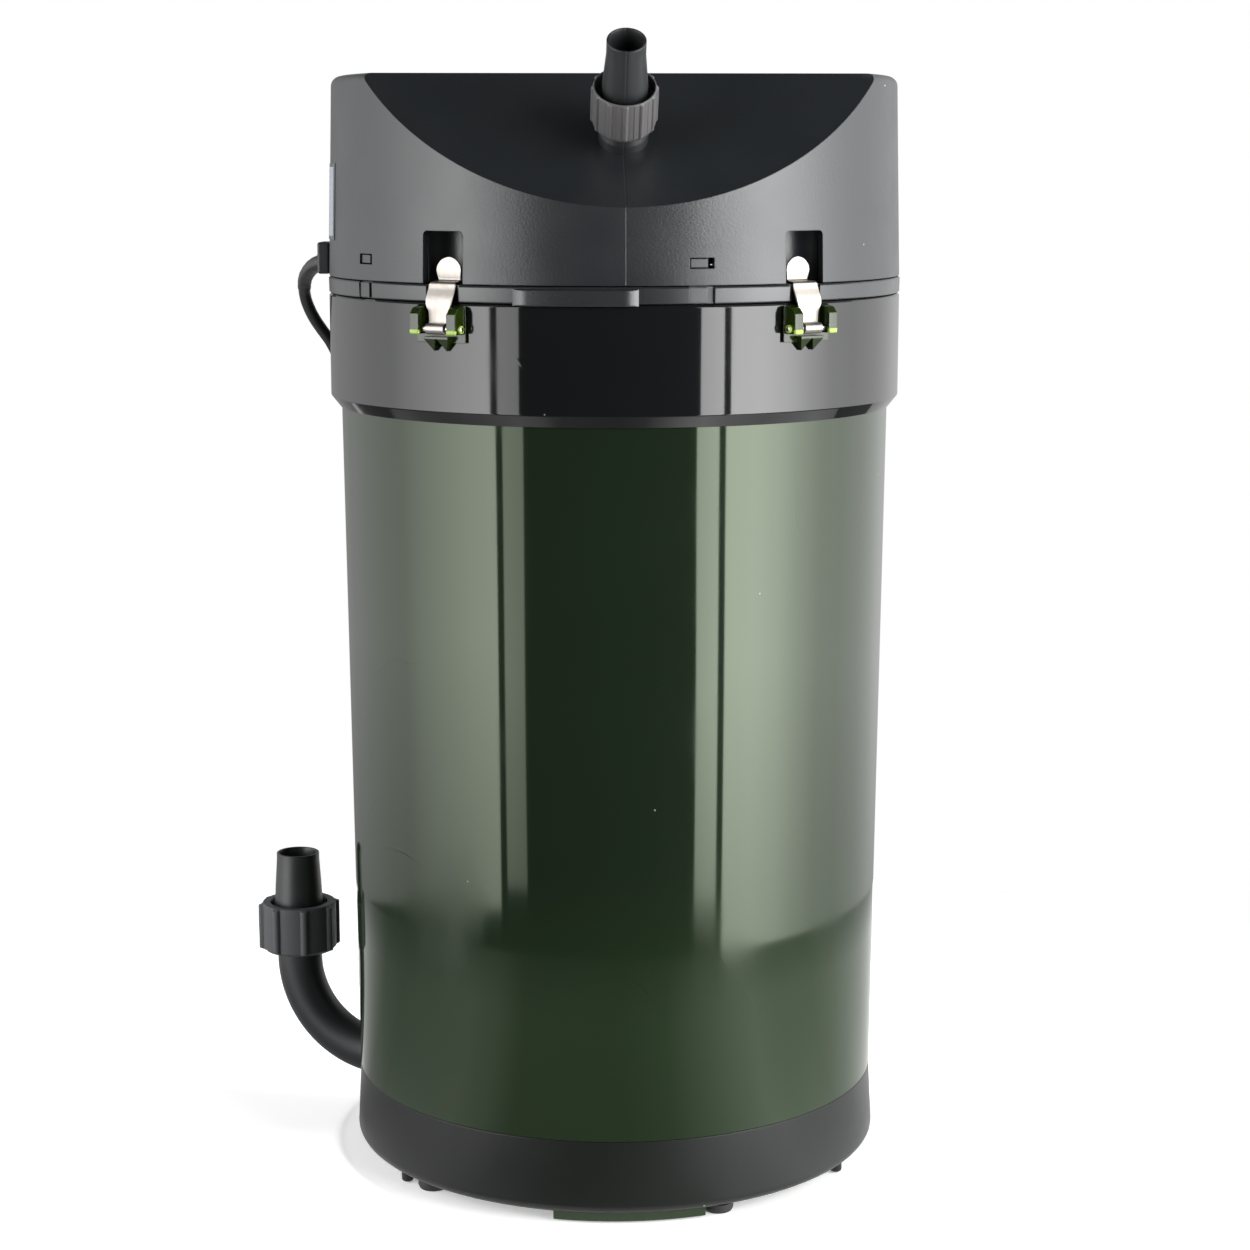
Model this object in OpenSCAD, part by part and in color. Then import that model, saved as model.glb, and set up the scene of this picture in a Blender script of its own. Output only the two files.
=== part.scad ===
// Round canister filter for an aquarium. A tank that stands on the floor holds three layers of
// media between two lattices, and a pump head sits on its rim under four spring clips.
// Z is up and the floor is z = 0. The sloped face of the head looks along -Y. An azimuth is the
// angle in degrees round Z from the front (-Y), growing towards +X.

/* [Canister] */
// Outside diameter of the collar and of the flange of the head
canister_d = 205; // [204:0.5:206]
// Outside diameter of the tank wall under the collar
tank_top_d = 197.4; // [197:0.2:198]
// Outside diameter of the tank wall at the top of the base band
tank_base_d = 191.8; // [191:0.2:192.6]
// Thickness of the tank wall
tank_wall = 3; // [2.8:0.1:3.2]
// Height of the top of the base band
band_top_z = 30.5; // [30.5:0.5:34]
// Height of the lower edge of the collar
collar_low_z = 277.5; // [268:0.5:282]

/* [Head] */
// Height of the seam between the flange and the head cover
seam_z = 323.6; // [322:0.2:325]
// Height of the flat top of the head
top_z = 393.3; // [392:0.1:394.6]
// Height where the sloped face meets the front wall
slope_foot_z = 349.5; // [348.6:0.1:350.4]
// Angle of the sloped face from level
slope_angle = 40; // [39:0.5:41]
// Thickness of the head cover
cover_wall = 2.5; // [2:0.1:3]

/* [Clips] */
// Azimuth of the front clips, mirrored to the other side and to the rear
clip_azimuth = 36; // [34:1:40]
// Width of a clip at its shoulders
clip_w = 10.3; // [9.6:0.1:11]
// Thickness of the spring strip
clip_t = 0.8; // [0.6:0.1:0.9]

/* [Hose connections] */
// Outside diameter of the outlet spigot, for hose of 12 mm bore
outlet_tip_d = 12.9; // [12.5:0.1:13.2]
// Outside diameter of the inlet spigot, for hose of 16 mm bore
inlet_tip_d = 16.5; // [16.2:0.1:17]
// Outside diameter of the inlet elbow
elbow_d = 17.2; // [16.8:0.1:17.4]
// Bend radius of the inlet elbow on its centreline
elbow_bend_r = 36; // [34:1:38]
// Height of the inlet port
port_z = 19.5; // [19:0.5:20]
// Azimuth of the inlet port
port_azimuth = -112; // [-118:1:-106]

/* [Power cord] */
// Diameter of the cord
cord_d = 4.4; // [4:0.1:4.6]
// Cord strands in a section of the stored coil, two wide
coil_strands = 8; // [6:1:8]

/* [Hidden] */
$fn = 96;

// Gap that keeps neighbouring pieces apart, and the overlap that joins shapes of one piece
gap = 0.3;
join = 1;

// Tank
canister_r = canister_d / 2;
tank_top_r = tank_top_d / 2;
tank_base_r = tank_base_d / 2;
under_z = 3.5;
floor_t = 3.5;
band_t = 2.55;
band_fillet_r = 6;
flange_h = 5.6;
flange_low_z = seam_z - flange_h;
rim_z = flange_low_z - 1.3;
tab_angle = 32;
foot_r = 5.5;
foot_count = 5;
foot_azimuth = -50;
foot_orbit_r = 86.8;

// Head
cover_low_z = seam_z + gap;
cover_low_r = canister_r - 0.1;
cover_high_r = canister_r - 1.9;
cover_edge_r = 5;
floor_high_z = seam_z - 19.6;
head_floor_t = 3;
well_r = 11.2;
well_wall = 2;
well_top_z = seam_z + 22.4;
snap_count = 5;
snap_azimuth = -58;
window_w = 16.5;
window_top_z = seam_z + 17.6;
raised_azimuth = -9.5;
raised_angle = 23.4;
grommet_azimuth = -95;
snap_recess_w = 8.8;
snap_recess_t = 1.2;
clip_recess_w = 13.4;
clip_recess_t = 0.9;

// Clips
pin_z = seam_z - 14.3;
pin_r = 1;
curl_r = 1.85;
strip_in_r = canister_r + 1.1;
pin_orbit_r = strip_in_r + curl_r;
lug_w = 20;
CLIP_AZIMUTHS = [-clip_azimuth, clip_azimuth, clip_azimuth - 180, 180 - clip_azimuth];

// Outlet, measured along its own axis from the sloped face
outlet_y = -75.4;
outlet_z = 371.3;
outlet_tip_l = 40.1;
outlet_bore_r = 4.9;
outlet_nut_low_l = 6.2;
outlet_nut_h = 15.4;
outlet_thread_l = 12.6;
outlet_washer_l = outlet_thread_l + 0.05;
outlet_flange_l = outlet_thread_l + 0.9;
outlet_duct_r = 7.5;
outlet_duct_bore_r = 5.2;
// Inside the head the duct leans a little less, to clear the motor
outlet_duct_angle = slope_angle - 2.6;

// Inlet, heights above the axis of the port
elbow_r = elbow_d / 2;
elbow_bore_r = 6.4;
elbow_start_x = 96;
nozzle_x = elbow_start_x + elbow_bend_r;
inlet_tip_h = 77.8;
inlet_nut_low_h = 40;
inlet_nut_h = 18;

// Motor
shaft_r = 1.5;
rotor_bore_r = 1.55;
impeller_r = 20.5;
core_low_z = 313;
core_h = 18;
core_hole_x = 18;
core_hole_y = 55;

// Cord: round numbers chosen by hand along its centreline, from the grommet down to the coil
CORD_ROUTE = [
    [-103.4, 5.6, 328.2], [-106.1, 8.2, 327.7], [-108.8, 11.4, 326.5], [-111, 15, 324.5],
    [-112.7, 18.9, 321.7], [-113.4, 22.6, 318.2], [-113.3, 26.1, 314.4], [-112.3, 29.4, 310.4],
    [-110.6, 32.4, 306.3], [-108.2, 35.4, 302.1], [-105.1, 38.6, 297.1], [-101.3, 42.8, 288],
    [-97.8, 47.6, 278.5],
    [-94.3, 53, 266.5], [-91.3, 58.8, 252], [-88.8, 64, 233], [-87.2, 68, 207],
    [-86.3, 70, 175], [-86, 71, 140], [-86, 71, 105], [-86, 72, 72],
    [-86, 74.5, 46], [-85, 79.5, 26], [-81.5, 87, 11], [-74.5, 95, 4],
    [-63.5, 102.5, 2.6], [-48, 107.5, 2.8], [-30, 109, 3.1]
];
PLUG_ROUTE = [[-10, 109, 16.2], [2, 109.2, 15], [14, 109.6, 12.4], [26, 110.6, 9.4], [42, 112, 6.9]];
tie_t = 0.8;
coil_mid_r = 5.6 * cord_d;
coil_at = [-15, 109 + coil_mid_r + cord_d / 2, tie_t + 0.1];
coil_w = 2 * cord_d + 0.4;
coil_h = ceil(coil_strands / 2) * cord_d + 0.2;
relief_rings = 15;
relief_r = 3;
relief_end_r = 2.45;

// Power cord plug, flat two-pin
plug_w = 35.3;
plug_h = 13.7;
plug_l = 34;
plug_pin_gap = 18.6;

// Colours
black = "#1b1c1d";
slate = "#45494c";
tank_green = "#263f1f";

// ---- Frames and helpers ----

// Turns +X of its children to look outwards at an azimuth
module facing(azimuth) {
    rotate([0, 0, azimuth - 90])
        children();
}

// Z of its children runs along the outlet, out of the sloped face
module on_outlet() {
    translate([0, outlet_y, outlet_z])
        rotate([slope_angle, 0, 0])
            children();
}

// Z of its children runs up the part of the outlet duct that is inside the head
module on_duct() {
    translate([0, outlet_y, outlet_z])
        rotate([outlet_duct_angle, 0, 0])
            children();
}

// Z of its children runs up the inlet spigot, from the height of the port
module on_inlet() {
    facing(port_azimuth)
        translate([nozzle_x, 0, port_z])
            children();
}

module tube(outer_r, inner_r, low, high) {
    translate([0, 0, low])
        difference() {
            cylinder(r = outer_r, h = high - low);
            translate([0, 0, -join])
                cylinder(r = inner_r, h = high - low + 2 * join);
        }
}

// A block with its middle at the azimuth, from one radius and height to another
module block(low, high, width) {
    translate([low[0], -width / 2, low[1]])
        cube([high[0] - low[0], width, high[1] - low[1]]);
}

// A piece of a ring about the middle of an azimuth
module sector(points, azimuth, angle) {
    facing(azimuth - angle / 2)
        rotate_extrude(angle = angle)
            polygon(points);
}

function arc(centre, radius, from, to, steps) =
    [for (i = [0:steps]) centre + radius * [cos(from + (to - from) * i / steps),
                                            sin(from + (to - from) * i / steps)]];

// ---- Sweeping a round tube along a route ----

function curve_point(a, b, c, d, t) =
    (2 * b + (c - a) * t + (2 * a - 5 * b + 4 * c - d) * t * t
     + (3 * b - a - 3 * c + d) * t * t * t) / 2;

function smooth(route, steps) =
    let (last = len(route) - 1)
    concat([for (i = [0:last - 1]) for (s = [0:steps - 1])
                curve_point(route[max(i - 1, 0)], route[i], route[i + 1],
                            route[min(i + 2, last)], s / steps)],
           [route[last]]);

function unit(v) = v / norm(v);

function heading(path, i) =
    unit(path[min(i + 1, len(path) - 1)] - path[max(i - 1, 0)]);

function ring(centre, direction, radius, sides) =
    let (side = unit(cross(direction, [0.1, -1, 0.1])), other = cross(direction, side))
    [for (k = [0:sides - 1]) centre + radius * (cos(360 * k / sides) * side
                                                + sin(360 * k / sides) * other)];

module sweep(path, radii, sides = 10) {
    last = len(path) - 1;
    points = [for (i = [0:last]) each ring(path[i], heading(path, i), radii[i], sides)];
    walls = [for (i = [0:last - 1]) for (k = [0:sides - 1])
                let (a = i * sides + k, b = i * sides + (k + 1) % sides)
                each [[a, b, b + sides], [a, b + sides, a + sides]]];
    start = [for (k = [0:sides - 1]) sides - 1 - k];
    end = [for (k = [0:sides - 1]) last * sides + k];
    polyhedron(points = points, faces = concat([start], walls, [end]), convexity = 8);
}

// ---- Tank ----

module tank() {
    inner_r = tank_base_r - tank_wall;
    rebate_r = tank_base_r - band_t;
    corner_r = rebate_r - 4.7;
    color(tank_green) {
        difference() {
            union() {
                rotate_extrude()
                    polygon([
                        [0, under_z], [corner_r, under_z], [rebate_r, under_z + band_fillet_r],
                        [rebate_r, band_top_z], [tank_base_r, band_top_z],
                        [tank_top_r, collar_low_z], [tank_top_r, rim_z],
                        [tank_top_r - tank_wall, rim_z], [tank_top_r - tank_wall, collar_low_z],
                        [inner_r, band_top_z + 5], [rebate_r - tank_wall, band_top_z - 2],
                        [rebate_r - tank_wall, under_z + band_fillet_r],
                        [rebate_r - tank_wall - 4, under_z + floor_t], [0, under_z + floor_t]
                    ]);
                facing(port_azimuth)
                    translate([78, 0, port_z])
                        rotate([0, 90, 0])
                            cylinder(r = 11.8, h = 13);
            }
            facing(port_azimuth)
                translate([70, 0, port_z])
                    rotate([0, 90, 0])
                        cylinder(r = 10.4, h = 40);
        }
        sector([[79, 1], [tank_base_r - 3, 1], [tank_base_r - 3, under_z - 0.1],
                [corner_r - 1, under_z - 0.1], [corner_r - 1, under_z + 1], [79, under_z + 1]],
               0, tab_angle);
        for (azimuth = [-60, 60, 180])
            facing(azimuth)
                translate([86, 0, 1.5])
                    cylinder(r = 2.4, h = under_z);
    }
}

module tank_collar() {
    lip_r = tank_top_r - tank_wall + 1;
    bond_r = tank_top_r + 0.05;
    color(black)
        rotate_extrude()
            polygon([
                [bond_r, collar_low_z], [bond_r + 0.4, collar_low_z],
                [canister_r, collar_low_z + 4], [canister_r, flange_low_z - 1],
                [canister_r - 0.6, flange_low_z - gap], [lip_r, flange_low_z - gap],
                [lip_r, rim_z + gap], [bond_r, rim_z + gap]
            ]);
}

module base_band() {
    rebate_r = tank_base_r - band_t + 0.05;
    fillet_at = [tank_base_r - 0.4 - band_fillet_r, under_z + band_fillet_r];
    color("#343736")
        difference() {
            rotate_extrude()
                polygon(concat(
                    [[rebate_r, band_top_z - 0.05], [tank_base_r, band_top_z - 0.05]],
                    arc(fillet_at, band_fillet_r, 0, -90, 8),
                    [[rebate_r - 4.6, under_z], [rebate_r, under_z + band_fillet_r]]
                ));
            facing(port_azimuth)
                translate([80, 0, port_z])
                    rotate([0, 90, 0])
                        cylinder(r = 9.5, h = 40);
        }
}

module rubber_feet() {
    color("#141414")
        for (i = [0:foot_count - 1])
            facing(foot_azimuth + i * 360 / foot_count)
                translate([foot_orbit_r, 0, 0]) {
                    cylinder(r1 = foot_r - 1, r2 = foot_r, h = 1.5);
                    translate([0, 0, 1.5])
                        cylinder(r = foot_r, h = under_z - 1.6);
                }
}

// ---- Clips ----

module clip_lug() {
    cheek_in = 4.6;
    cheek_w = 4.8;
    back_r = canister_r + 0.05;
    difference() {
        union() {
            block([back_r, pin_z - 4.6], [back_r + 0.7, flange_low_z - 1], lug_w);
            for (side = [-1, 1]) {
                translate([back_r, side * (cheek_in + cheek_w / 2), 0])
                    block([0, pin_z - 2.6], [5.6, pin_z + 5.2], cheek_w);
                translate([back_r, side * 2.6, 0])
                    rotate([90, 0, 90])
                        linear_extrude(3.6)
                            polygon([[-2.3, pin_z - 3.4], [2.3, pin_z - 3.4], [0, pin_z - 7.4]]);
            }
        }
        translate([pin_orbit_r, 0, pin_z])
            rotate([90, 0, 0])
                cylinder(r = pin_r + 0.02, h = lug_w + 2, center = true, $fn = 32);
    }
}

module clip_lugs() {
    color("#5f7f1c")
        for (azimuth = CLIP_AZIMUTHS)
            facing(azimuth)
                clip_lug();
}

module clip_pins() {
    color("#c9c6bd")
        for (azimuth = CLIP_AZIMUTHS)
            facing(azimuth)
                translate([pin_orbit_r, 0, pin_z])
                    rotate([90, 0, 0])
                        cylinder(r = pin_r, h = 21, center = true, $fn = 32);
}

// Side view of the strip, radius against height: up from the curl, in over the flange, up again
function strip_side(hook_z, thumb_r) = [
    [strip_in_r, pin_z], [strip_in_r + clip_t, pin_z],
    [strip_in_r + clip_t, hook_z + clip_t / 2], [strip_in_r + clip_t / 2, hook_z + clip_t],
    [thumb_r + clip_t, hook_z + clip_t + 0.5], [thumb_r + 0.2, hook_z + 8.8],
    [thumb_r - 0.6, hook_z + 8.8], [thumb_r, hook_z], [strip_in_r - 0.3, hook_z],
    [strip_in_r, hook_z - 0.5]
];

// Front view of the strip, half of its width against height above the pin
function strip_front() =
    let (half = clip_w / 2, top = 23.6, crown = half * 0.72, neck = 3.8)
    concat([[-neck, -4], [neck, -4], [neck, 6.6], [half, 9.4], [half, top - crown]],
           arc([half - crown, top - crown], crown, 0, 90, 6),
           arc([crown - half, top - crown], crown, 90, 180, 6),
           [[-half, 9.4], [-neck, 6.6]]);

module clip(azimuth) {
    color("#d8d2c4")
        facing(azimuth) {
            intersection() {
                translate([0, clip_w / 2 + join, 0])
                    rotate([90, 0, 0])
                        linear_extrude(clip_w + 2 * join)
                            polygon(strip_side(seam_z + gap, 98));
                translate([90, 0, pin_z])
                    rotate([90, 0, 90])
                        linear_extrude(20)
                            polygon(strip_front());
            }
            translate([pin_orbit_r, 0, pin_z])
                rotate([90, 0, 0])
                    difference() {
                        cylinder(r = curl_r, h = 7.6, center = true, $fn = 32);
                        cylinder(r = pin_r + 0.05, h = 9, center = true, $fn = 32);
                    }
        }
}

module clip_front_left() {
    clip(CLIP_AZIMUTHS[0]);
}

module clip_front_right() {
    clip(CLIP_AZIMUTHS[1]);
}

module clip_rear_left() {
    clip(CLIP_AZIMUTHS[2]);
}

module clip_rear_right() {
    clip(CLIP_AZIMUTHS[3]);
}

// ---- Inlet ----

module inlet_port_seal() {
    color("#2a2a2a")
        facing(port_azimuth)
            translate([79, 0, port_z])
                rotate([0, 90, 0])
                    tube(10.35, elbow_r + 0.05, 0, 12);
}

module elbow_path(radius) {
    translate([80, 0, port_z])
        rotate([0, 90, 0])
            cylinder(r = radius, h = elbow_start_x - 80);
    translate([elbow_start_x, 0, port_z + elbow_bend_r])
        rotate([90, 0, 0])
            rotate_extrude(angle = 90, start = -90)
                translate([elbow_bend_r, 0])
                    circle(radius);
}

module inlet_elbow() {
    thread_low_h = inlet_nut_low_h + 0.8;
    thread_high_h = inlet_nut_low_h + 12;
    color("#26282a")
        difference() {
            union() {
                facing(port_azimuth)
                    elbow_path(elbow_r);
                on_inlet() {
                    translate([0, 0, elbow_bend_r])
                        cylinder(r = elbow_r, h = thread_low_h - elbow_bend_r);
                    translate([0, 0, thread_low_h + 2.6])
                        cylinder(r = elbow_r + 1.6, h = thread_high_h - thread_low_h - 2.6);
                    translate([0, 0, thread_low_h])
                        cylinder(r = elbow_r, h = 2.6);
                }
            }
            facing(port_azimuth)
                elbow_path(elbow_bore_r);
            facing(port_azimuth)
                translate([79, 0, port_z])
                    rotate([0, 90, 0])
                        cylinder(r = elbow_bore_r, h = 1);
            on_inlet()
                translate([0, 0, elbow_bend_r])
                    cylinder(r = elbow_bore_r, h = thread_high_h);
        }
}

module inlet_washer() {
    color("#1a1a1a")
        on_inlet()
            tube(9.6, elbow_bore_r + 0.4, inlet_nut_low_h + 12.05, inlet_nut_low_h + 13);
}

// Spigot for a hose: a captive flange under the nut, a cone, and a short round tip
module spigot(flange_low, cone_low, tip, flange_r, root_r, tip_r, bore_r) {
    tip_l = 5.4;
    difference() {
        union() {
            translate([0, 0, flange_low])
                cylinder(r = flange_r, h = 2.4);
            translate([0, 0, flange_low + 1])
                cylinder(r = root_r, h = cone_low - flange_low - 1);
            translate([0, 0, cone_low])
                cylinder(r1 = root_r, r2 = tip_r, h = tip - tip_l - cone_low);
            translate([0, 0, tip - tip_l])
                cylinder(r = tip_r, h = tip_l);
        }
        translate([0, 0, flange_low - join])
            cylinder(r = bore_r, h = tip - flange_low + 2 * join);
    }
}

module inlet_nozzle() {
    color(black)
        on_inlet()
            spigot(inlet_nut_low_h + 13.05, inlet_nut_low_h + inlet_nut_h + 1, inlet_tip_h,
                   11.6, 9.5, inlet_tip_d / 2, elbow_bore_r);
}

// Union nut with ribs, standing on z = 0
module ribbed_nut(height, body_r, cavity_r, low_r, high_r, rib_count, rib_r, rib_orbit_r) {
    wall = 2.4;
    difference() {
        union() {
            cylinder(r = body_r, h = height);
            for (i = [0:rib_count - 1])
                rotate([0, 0, (i + 0.5) * 360 / rib_count])
                    translate([rib_orbit_r, 0, 0.6])
                        cylinder(r = rib_r, h = height - 1.6, $fn = 32);
        }
        translate([0, 0, -join])
            cylinder(r = low_r, h = height);
        translate([0, 0, wall])
            cylinder(r = cavity_r, h = height - 2 * wall);
        translate([0, 0, height / 2])
            cylinder(r = high_r, h = height);
    }
}

module inlet_union_nut() {
    color("#3f4143")
        on_inlet()
            translate([0, 0, inlet_nut_low_h])
                ribbed_nut(inlet_nut_h, 14.6, 12.2, elbow_r + gap, 10.2, 8, 2.8, 13.3);
}

// ---- Media ----

module lattice(low, radius, thickness) {
    ring_pitch = 15;
    union() {
        difference() {
            translate([0, 0, low])
                cylinder(r = radius, h = thickness);
            for (i = [1:5])
                tube(i * ring_pitch + 9, i * ring_pitch - 2, low - join, low + thickness + join);
        }
        for (azimuth = [0:30:150])
            rotate([0, 0, azimuth])
                translate([-radius + 2, -1.5, low])
                    cube([2 * radius - 4, 3, thickness]);
    }
}

module lower_lattice() {
    color("#30332f") {
        lattice(36, tank_base_r - tank_wall - 1.2, 3);
        for (azimuth = [0:90:270])
            facing(azimuth)
                translate([60, 0, under_z + floor_t + 0.1])
                    cylinder(r = 4, h = 30);
    }
}

module media_layer(low, high) {
    translate([0, 0, low])
        cylinder(r = tank_base_r - tank_wall - 1.4, h = high - low);
}

module coarse_pad() {
    color("#2f5f8f")
        media_layer(39.3, 69);
}

module bio_media() {
    color("#b9a88c")
        media_layer(69.3, 229);
}

module fine_pad() {
    color("#e9ebe6")
        media_layer(229.3, 245);
}

module upper_lattice() {
    color("#30332f")
        lattice(245.3, tank_base_r - tank_wall + 0.4, 3);
}

// ---- Head ----

module head_seal() {
    color("#161616")
        tube(tank_top_r - tank_wall - 0.1, 91.6, rim_z - 12, rim_z - 7);
}

module flange_recess(depth, width) {
    block([canister_r - depth, flange_low_z - join], [canister_r + 5, seam_z + join], width);
}

module head_base() {
    skirt_r = 91.5;
    color("#4b4e50")
        difference() {
            union() {
                rotate_extrude()
                    polygon([
                        [0, floor_high_z - head_floor_t], [skirt_r, floor_high_z - head_floor_t],
                        [skirt_r, flange_low_z], [canister_r, flange_low_z],
                        [canister_r + 0.1, seam_z - 0.6], [canister_r - 0.5, seam_z],
                        [skirt_r - 4, seam_z], [skirt_r - 4, floor_high_z], [0, floor_high_z]
                    ]);
                translate([0, 0, floor_high_z - join])
                    cylinder(r = well_r + well_wall, h = well_top_z + 2 - floor_high_z + join);
                tube(30, 27.5, floor_high_z - 17, floor_high_z - head_floor_t + join);
                for (side = [-1, 1])
                    translate([side * core_hole_x, core_hole_y, floor_high_z - join])
                        cylinder(r = 4, h = core_low_z - gap - floor_high_z + join);
                sector([[canister_r - 2, flange_low_z], [canister_r + 0.3, flange_low_z],
                        [canister_r + 0.3, flange_low_z - 0.7], [canister_r + 1.7, flange_low_z - 0.7],
                        [canister_r + 1.7, seam_z - 1], [canister_r - 2, seam_z - 1]],
                       raised_azimuth, raised_angle);
                for (i = [0:snap_count - 1])
                    snap_tongue(snap_azimuth + i * 360 / snap_count);
            }
            translate([0, 0, floor_high_z - head_floor_t - join])
                cylinder(r = well_r, h = well_top_z - floor_high_z + head_floor_t + join);
            on_duct()
                translate([0, 0, -95])
                    cylinder(r = outlet_duct_r + 0.1, h = 30);
            for (i = [0:snap_count - 1])
                facing(snap_azimuth + i * 360 / snap_count)
                    flange_recess(snap_recess_t, snap_recess_w);
            for (azimuth = CLIP_AZIMUTHS)
                facing(azimuth)
                    flange_recess(clip_recess_t, clip_recess_w);
        }
}

// Spring tongue of the flange whose nose shows in a window of the cover
module snap_tongue(azimuth) {
    root_r = cover_low_r - cover_wall - 2.6;
    facing(azimuth) {
        block([root_r, seam_z - join], [root_r + 1.8, seam_z + 10.5], 7.6);
        block([root_r + 1, seam_z + 6.2], [cover_low_r - 1, seam_z + 8.9], 7.6);
    }
}

// Outline of the head above the seam, radius against height, cut back by an inset
function cover_outline(inset, low) =
    let (edge = cover_edge_r - inset / 2,
         wall_r = cover_high_r - inset,
         high = top_z - inset)
    concat([[0, low], [cover_low_r - inset, low]],
           arc([wall_r - edge, high - edge], edge, 0, 90, 6),
           [[0, high]]);

// The head as a solid, cut by the plane of its sloped face
module head_block(inset, low) {
    difference() {
        rotate_extrude()
            polygon(cover_outline(inset, low));
        translate([0, inset * sin(slope_angle) - canister_r + 1.2,
                   slope_foot_z - inset * cos(slope_angle)])
            rotate([slope_angle, 0, 0])
                translate([-120, -80, 0])
                    cube([240, 260, 140]);
    }
}

module head_cover() {
    color(slate)
        difference() {
            head_block(0, cover_low_z);
            head_block(cover_wall, cover_low_z - join);
            on_outlet()
                translate([0, 0, -12])
                    cylinder(r = 8.3, h = 20);
            for (azimuth = CLIP_AZIMUTHS)
                facing(azimuth)
                    block([80, cover_low_z - join], [120, window_top_z], window_w);
            for (i = [0:snap_count - 1])
                facing(snap_azimuth + i * 360 / snap_count)
                    block([90, seam_z + 5.8], [110, seam_z + 9.3], 8.4);
            facing(grommet_azimuth)
                block([90, cover_low_z - join], [110, seam_z + 11], 8.6);
        }
}

module rating_label() {
    label_low = seam_z + 13.1;
    label_high = seam_z + 39.6;
    taper = (cover_low_r - cover_high_r) / (top_z - cover_edge_r - cover_low_z);
    function wall_r(z) = cover_low_r - taper * (z - cover_low_z);
    color("#cfd6dc")
        sector([[wall_r(label_low) + 0.05, label_low], [wall_r(label_low) + 0.4, label_low],
                [wall_r(label_high) + 0.4, label_high], [wall_r(label_high) + 0.05, label_high]],
               -86, 26);
}

// ---- Pump ----

module pump_cover() {
    low = floor_high_z - 20;
    color("#2b2d2e")
        difference() {
            union() {
                difference() {
                    translate([0, 0, low])
                        cylinder(r = 31.5, h = 2.8);
                    translate([0, 0, low - join])
                        cylinder(r = 10, h = 5);
                }
                for (azimuth = [0:120:240])
                    facing(azimuth) {
                        block([3, low], [11, low + 2.8], 3);
                        block([24, low - 24], [28, low + 1], 7);
                        block([24, low - 26], [38, low - 23], 7);
                    }
                translate([0, 0, low - 2])
                    cylinder(r = 5, h = 5.5);
            }
            translate([0, 0, low - 0.4])
                cylinder(r = 3.05, h = 6);
        }
}

module impeller() {
    low = floor_high_z - 15;
    color("#dfe0dc")
        difference() {
            union() {
                translate([0, 0, low + 6])
                    cylinder(r = impeller_r, h = 2);
                translate([0, 0, low])
                    cylinder(r = 5, h = 15);
                for (i = [0:5])
                    rotate([0, 0, 60 * i])
                        translate([4, -0.9, low])
                            cube([impeller_r - 4.5, 1.8, 7]);
            }
            translate([0, 0, low - join])
                cylinder(r = rotor_bore_r, h = 20);
        }
}

module rotor_magnet() {
    color("#3b3b3d")
        tube(well_r - 0.7, rotor_bore_r, floor_high_z + 0.5, floor_high_z + 34);
}

module rotor_shaft() {
    color("#f2f0ea")
        translate([0, 0, floor_high_z - 20])
            cylinder(r = shaft_r, h = well_top_z - floor_high_z + 19.5);
}

module upper_bushing() {
    color("#3a2a26")
        tube(3.6, shaft_r + 0.02, well_top_z - 4.5, well_top_z - 0.05);
}

module lower_bushing() {
    color("#3a2a26")
        tube(3, shaft_r + 0.02, floor_high_z - 20.3, floor_high_z - 16);
}

module stator_core() {
    leg_x = 27;
    color("#7c7f84")
        difference() {
            translate([-leg_x, -14, core_low_z])
                cube([2 * leg_x, 76, core_h]);
            translate([-9, -20, core_low_z - join])
                cube([18, 68, core_h + 2 * join]);
            translate([0, 0, core_low_z - join])
                cylinder(r = well_r + well_wall + gap, h = core_h + 2 * join);
            for (side = [-1, 1])
                translate([side * core_hole_x, core_hole_y, core_low_z - join])
                    cylinder(r = 2.2, h = core_h + 2 * join, $fn = 32);
        }
}

module stator_coils() {
    color("#9a4a20")
        for (side = [-1, 1])
            translate([side * 18, 31, core_low_z + core_h / 2])
                difference() {
                    cube([28, 28, 29], center = true);
                    cube([18.4, 30, core_h + 0.4], center = true);
                }
}

module stator_screws() {
    color("#b5b8bb")
        for (side = [-1, 1])
            translate([side * core_hole_x, core_hole_y, 0]) {
                translate([0, 0, core_low_z - 0.2])
                    cylinder(r = 2, h = core_h + 1, $fn = 32);
                translate([0, 0, core_low_z + core_h + 0.1])
                    cylinder(r = 3.8, h = 2.6, $fn = 32);
            }
}

// ---- Outlet ----

module outlet_duct() {
    elbow_l = 2;
    color(black)
        difference() {
            union() {
                on_duct()
                    translate([0, 0, -90])
                        cylinder(r = outlet_duct_r, h = 90 - elbow_l);
                on_outlet() {
                    translate([0, 0, -9])
                        cylinder(r = outlet_duct_r + 0.5, h = outlet_nut_low_l + 8.6);
                    cylinder(r = outlet_duct_r, h = outlet_thread_l);
                }
            }
            on_duct()
                translate([0, 0, -91])
                    cylinder(r = outlet_duct_bore_r, h = 91);
            on_outlet() {
                translate([0, 0, -elbow_l])
                    cylinder(r = outlet_duct_bore_r + 0.4, h = 2 * elbow_l);
                cylinder(r = outlet_duct_bore_r, h = 30);
            }
            translate([-40, -120, 0])
                cube([80, 200, floor_high_z - head_floor_t + 0.1]);
        }
}

module outlet_washer() {
    color("#1a1a1a")
        on_outlet()
            tube(7.4, 5.4, outlet_washer_l, outlet_washer_l + 0.8);
}

module outlet_nozzle() {
    color(black)
        on_outlet()
            spigot(outlet_flange_l, outlet_nut_low_l + outlet_nut_h + 0.5, outlet_tip_l,
                   8.8, 7.6, outlet_tip_d / 2, outlet_bore_r);
}

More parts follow.
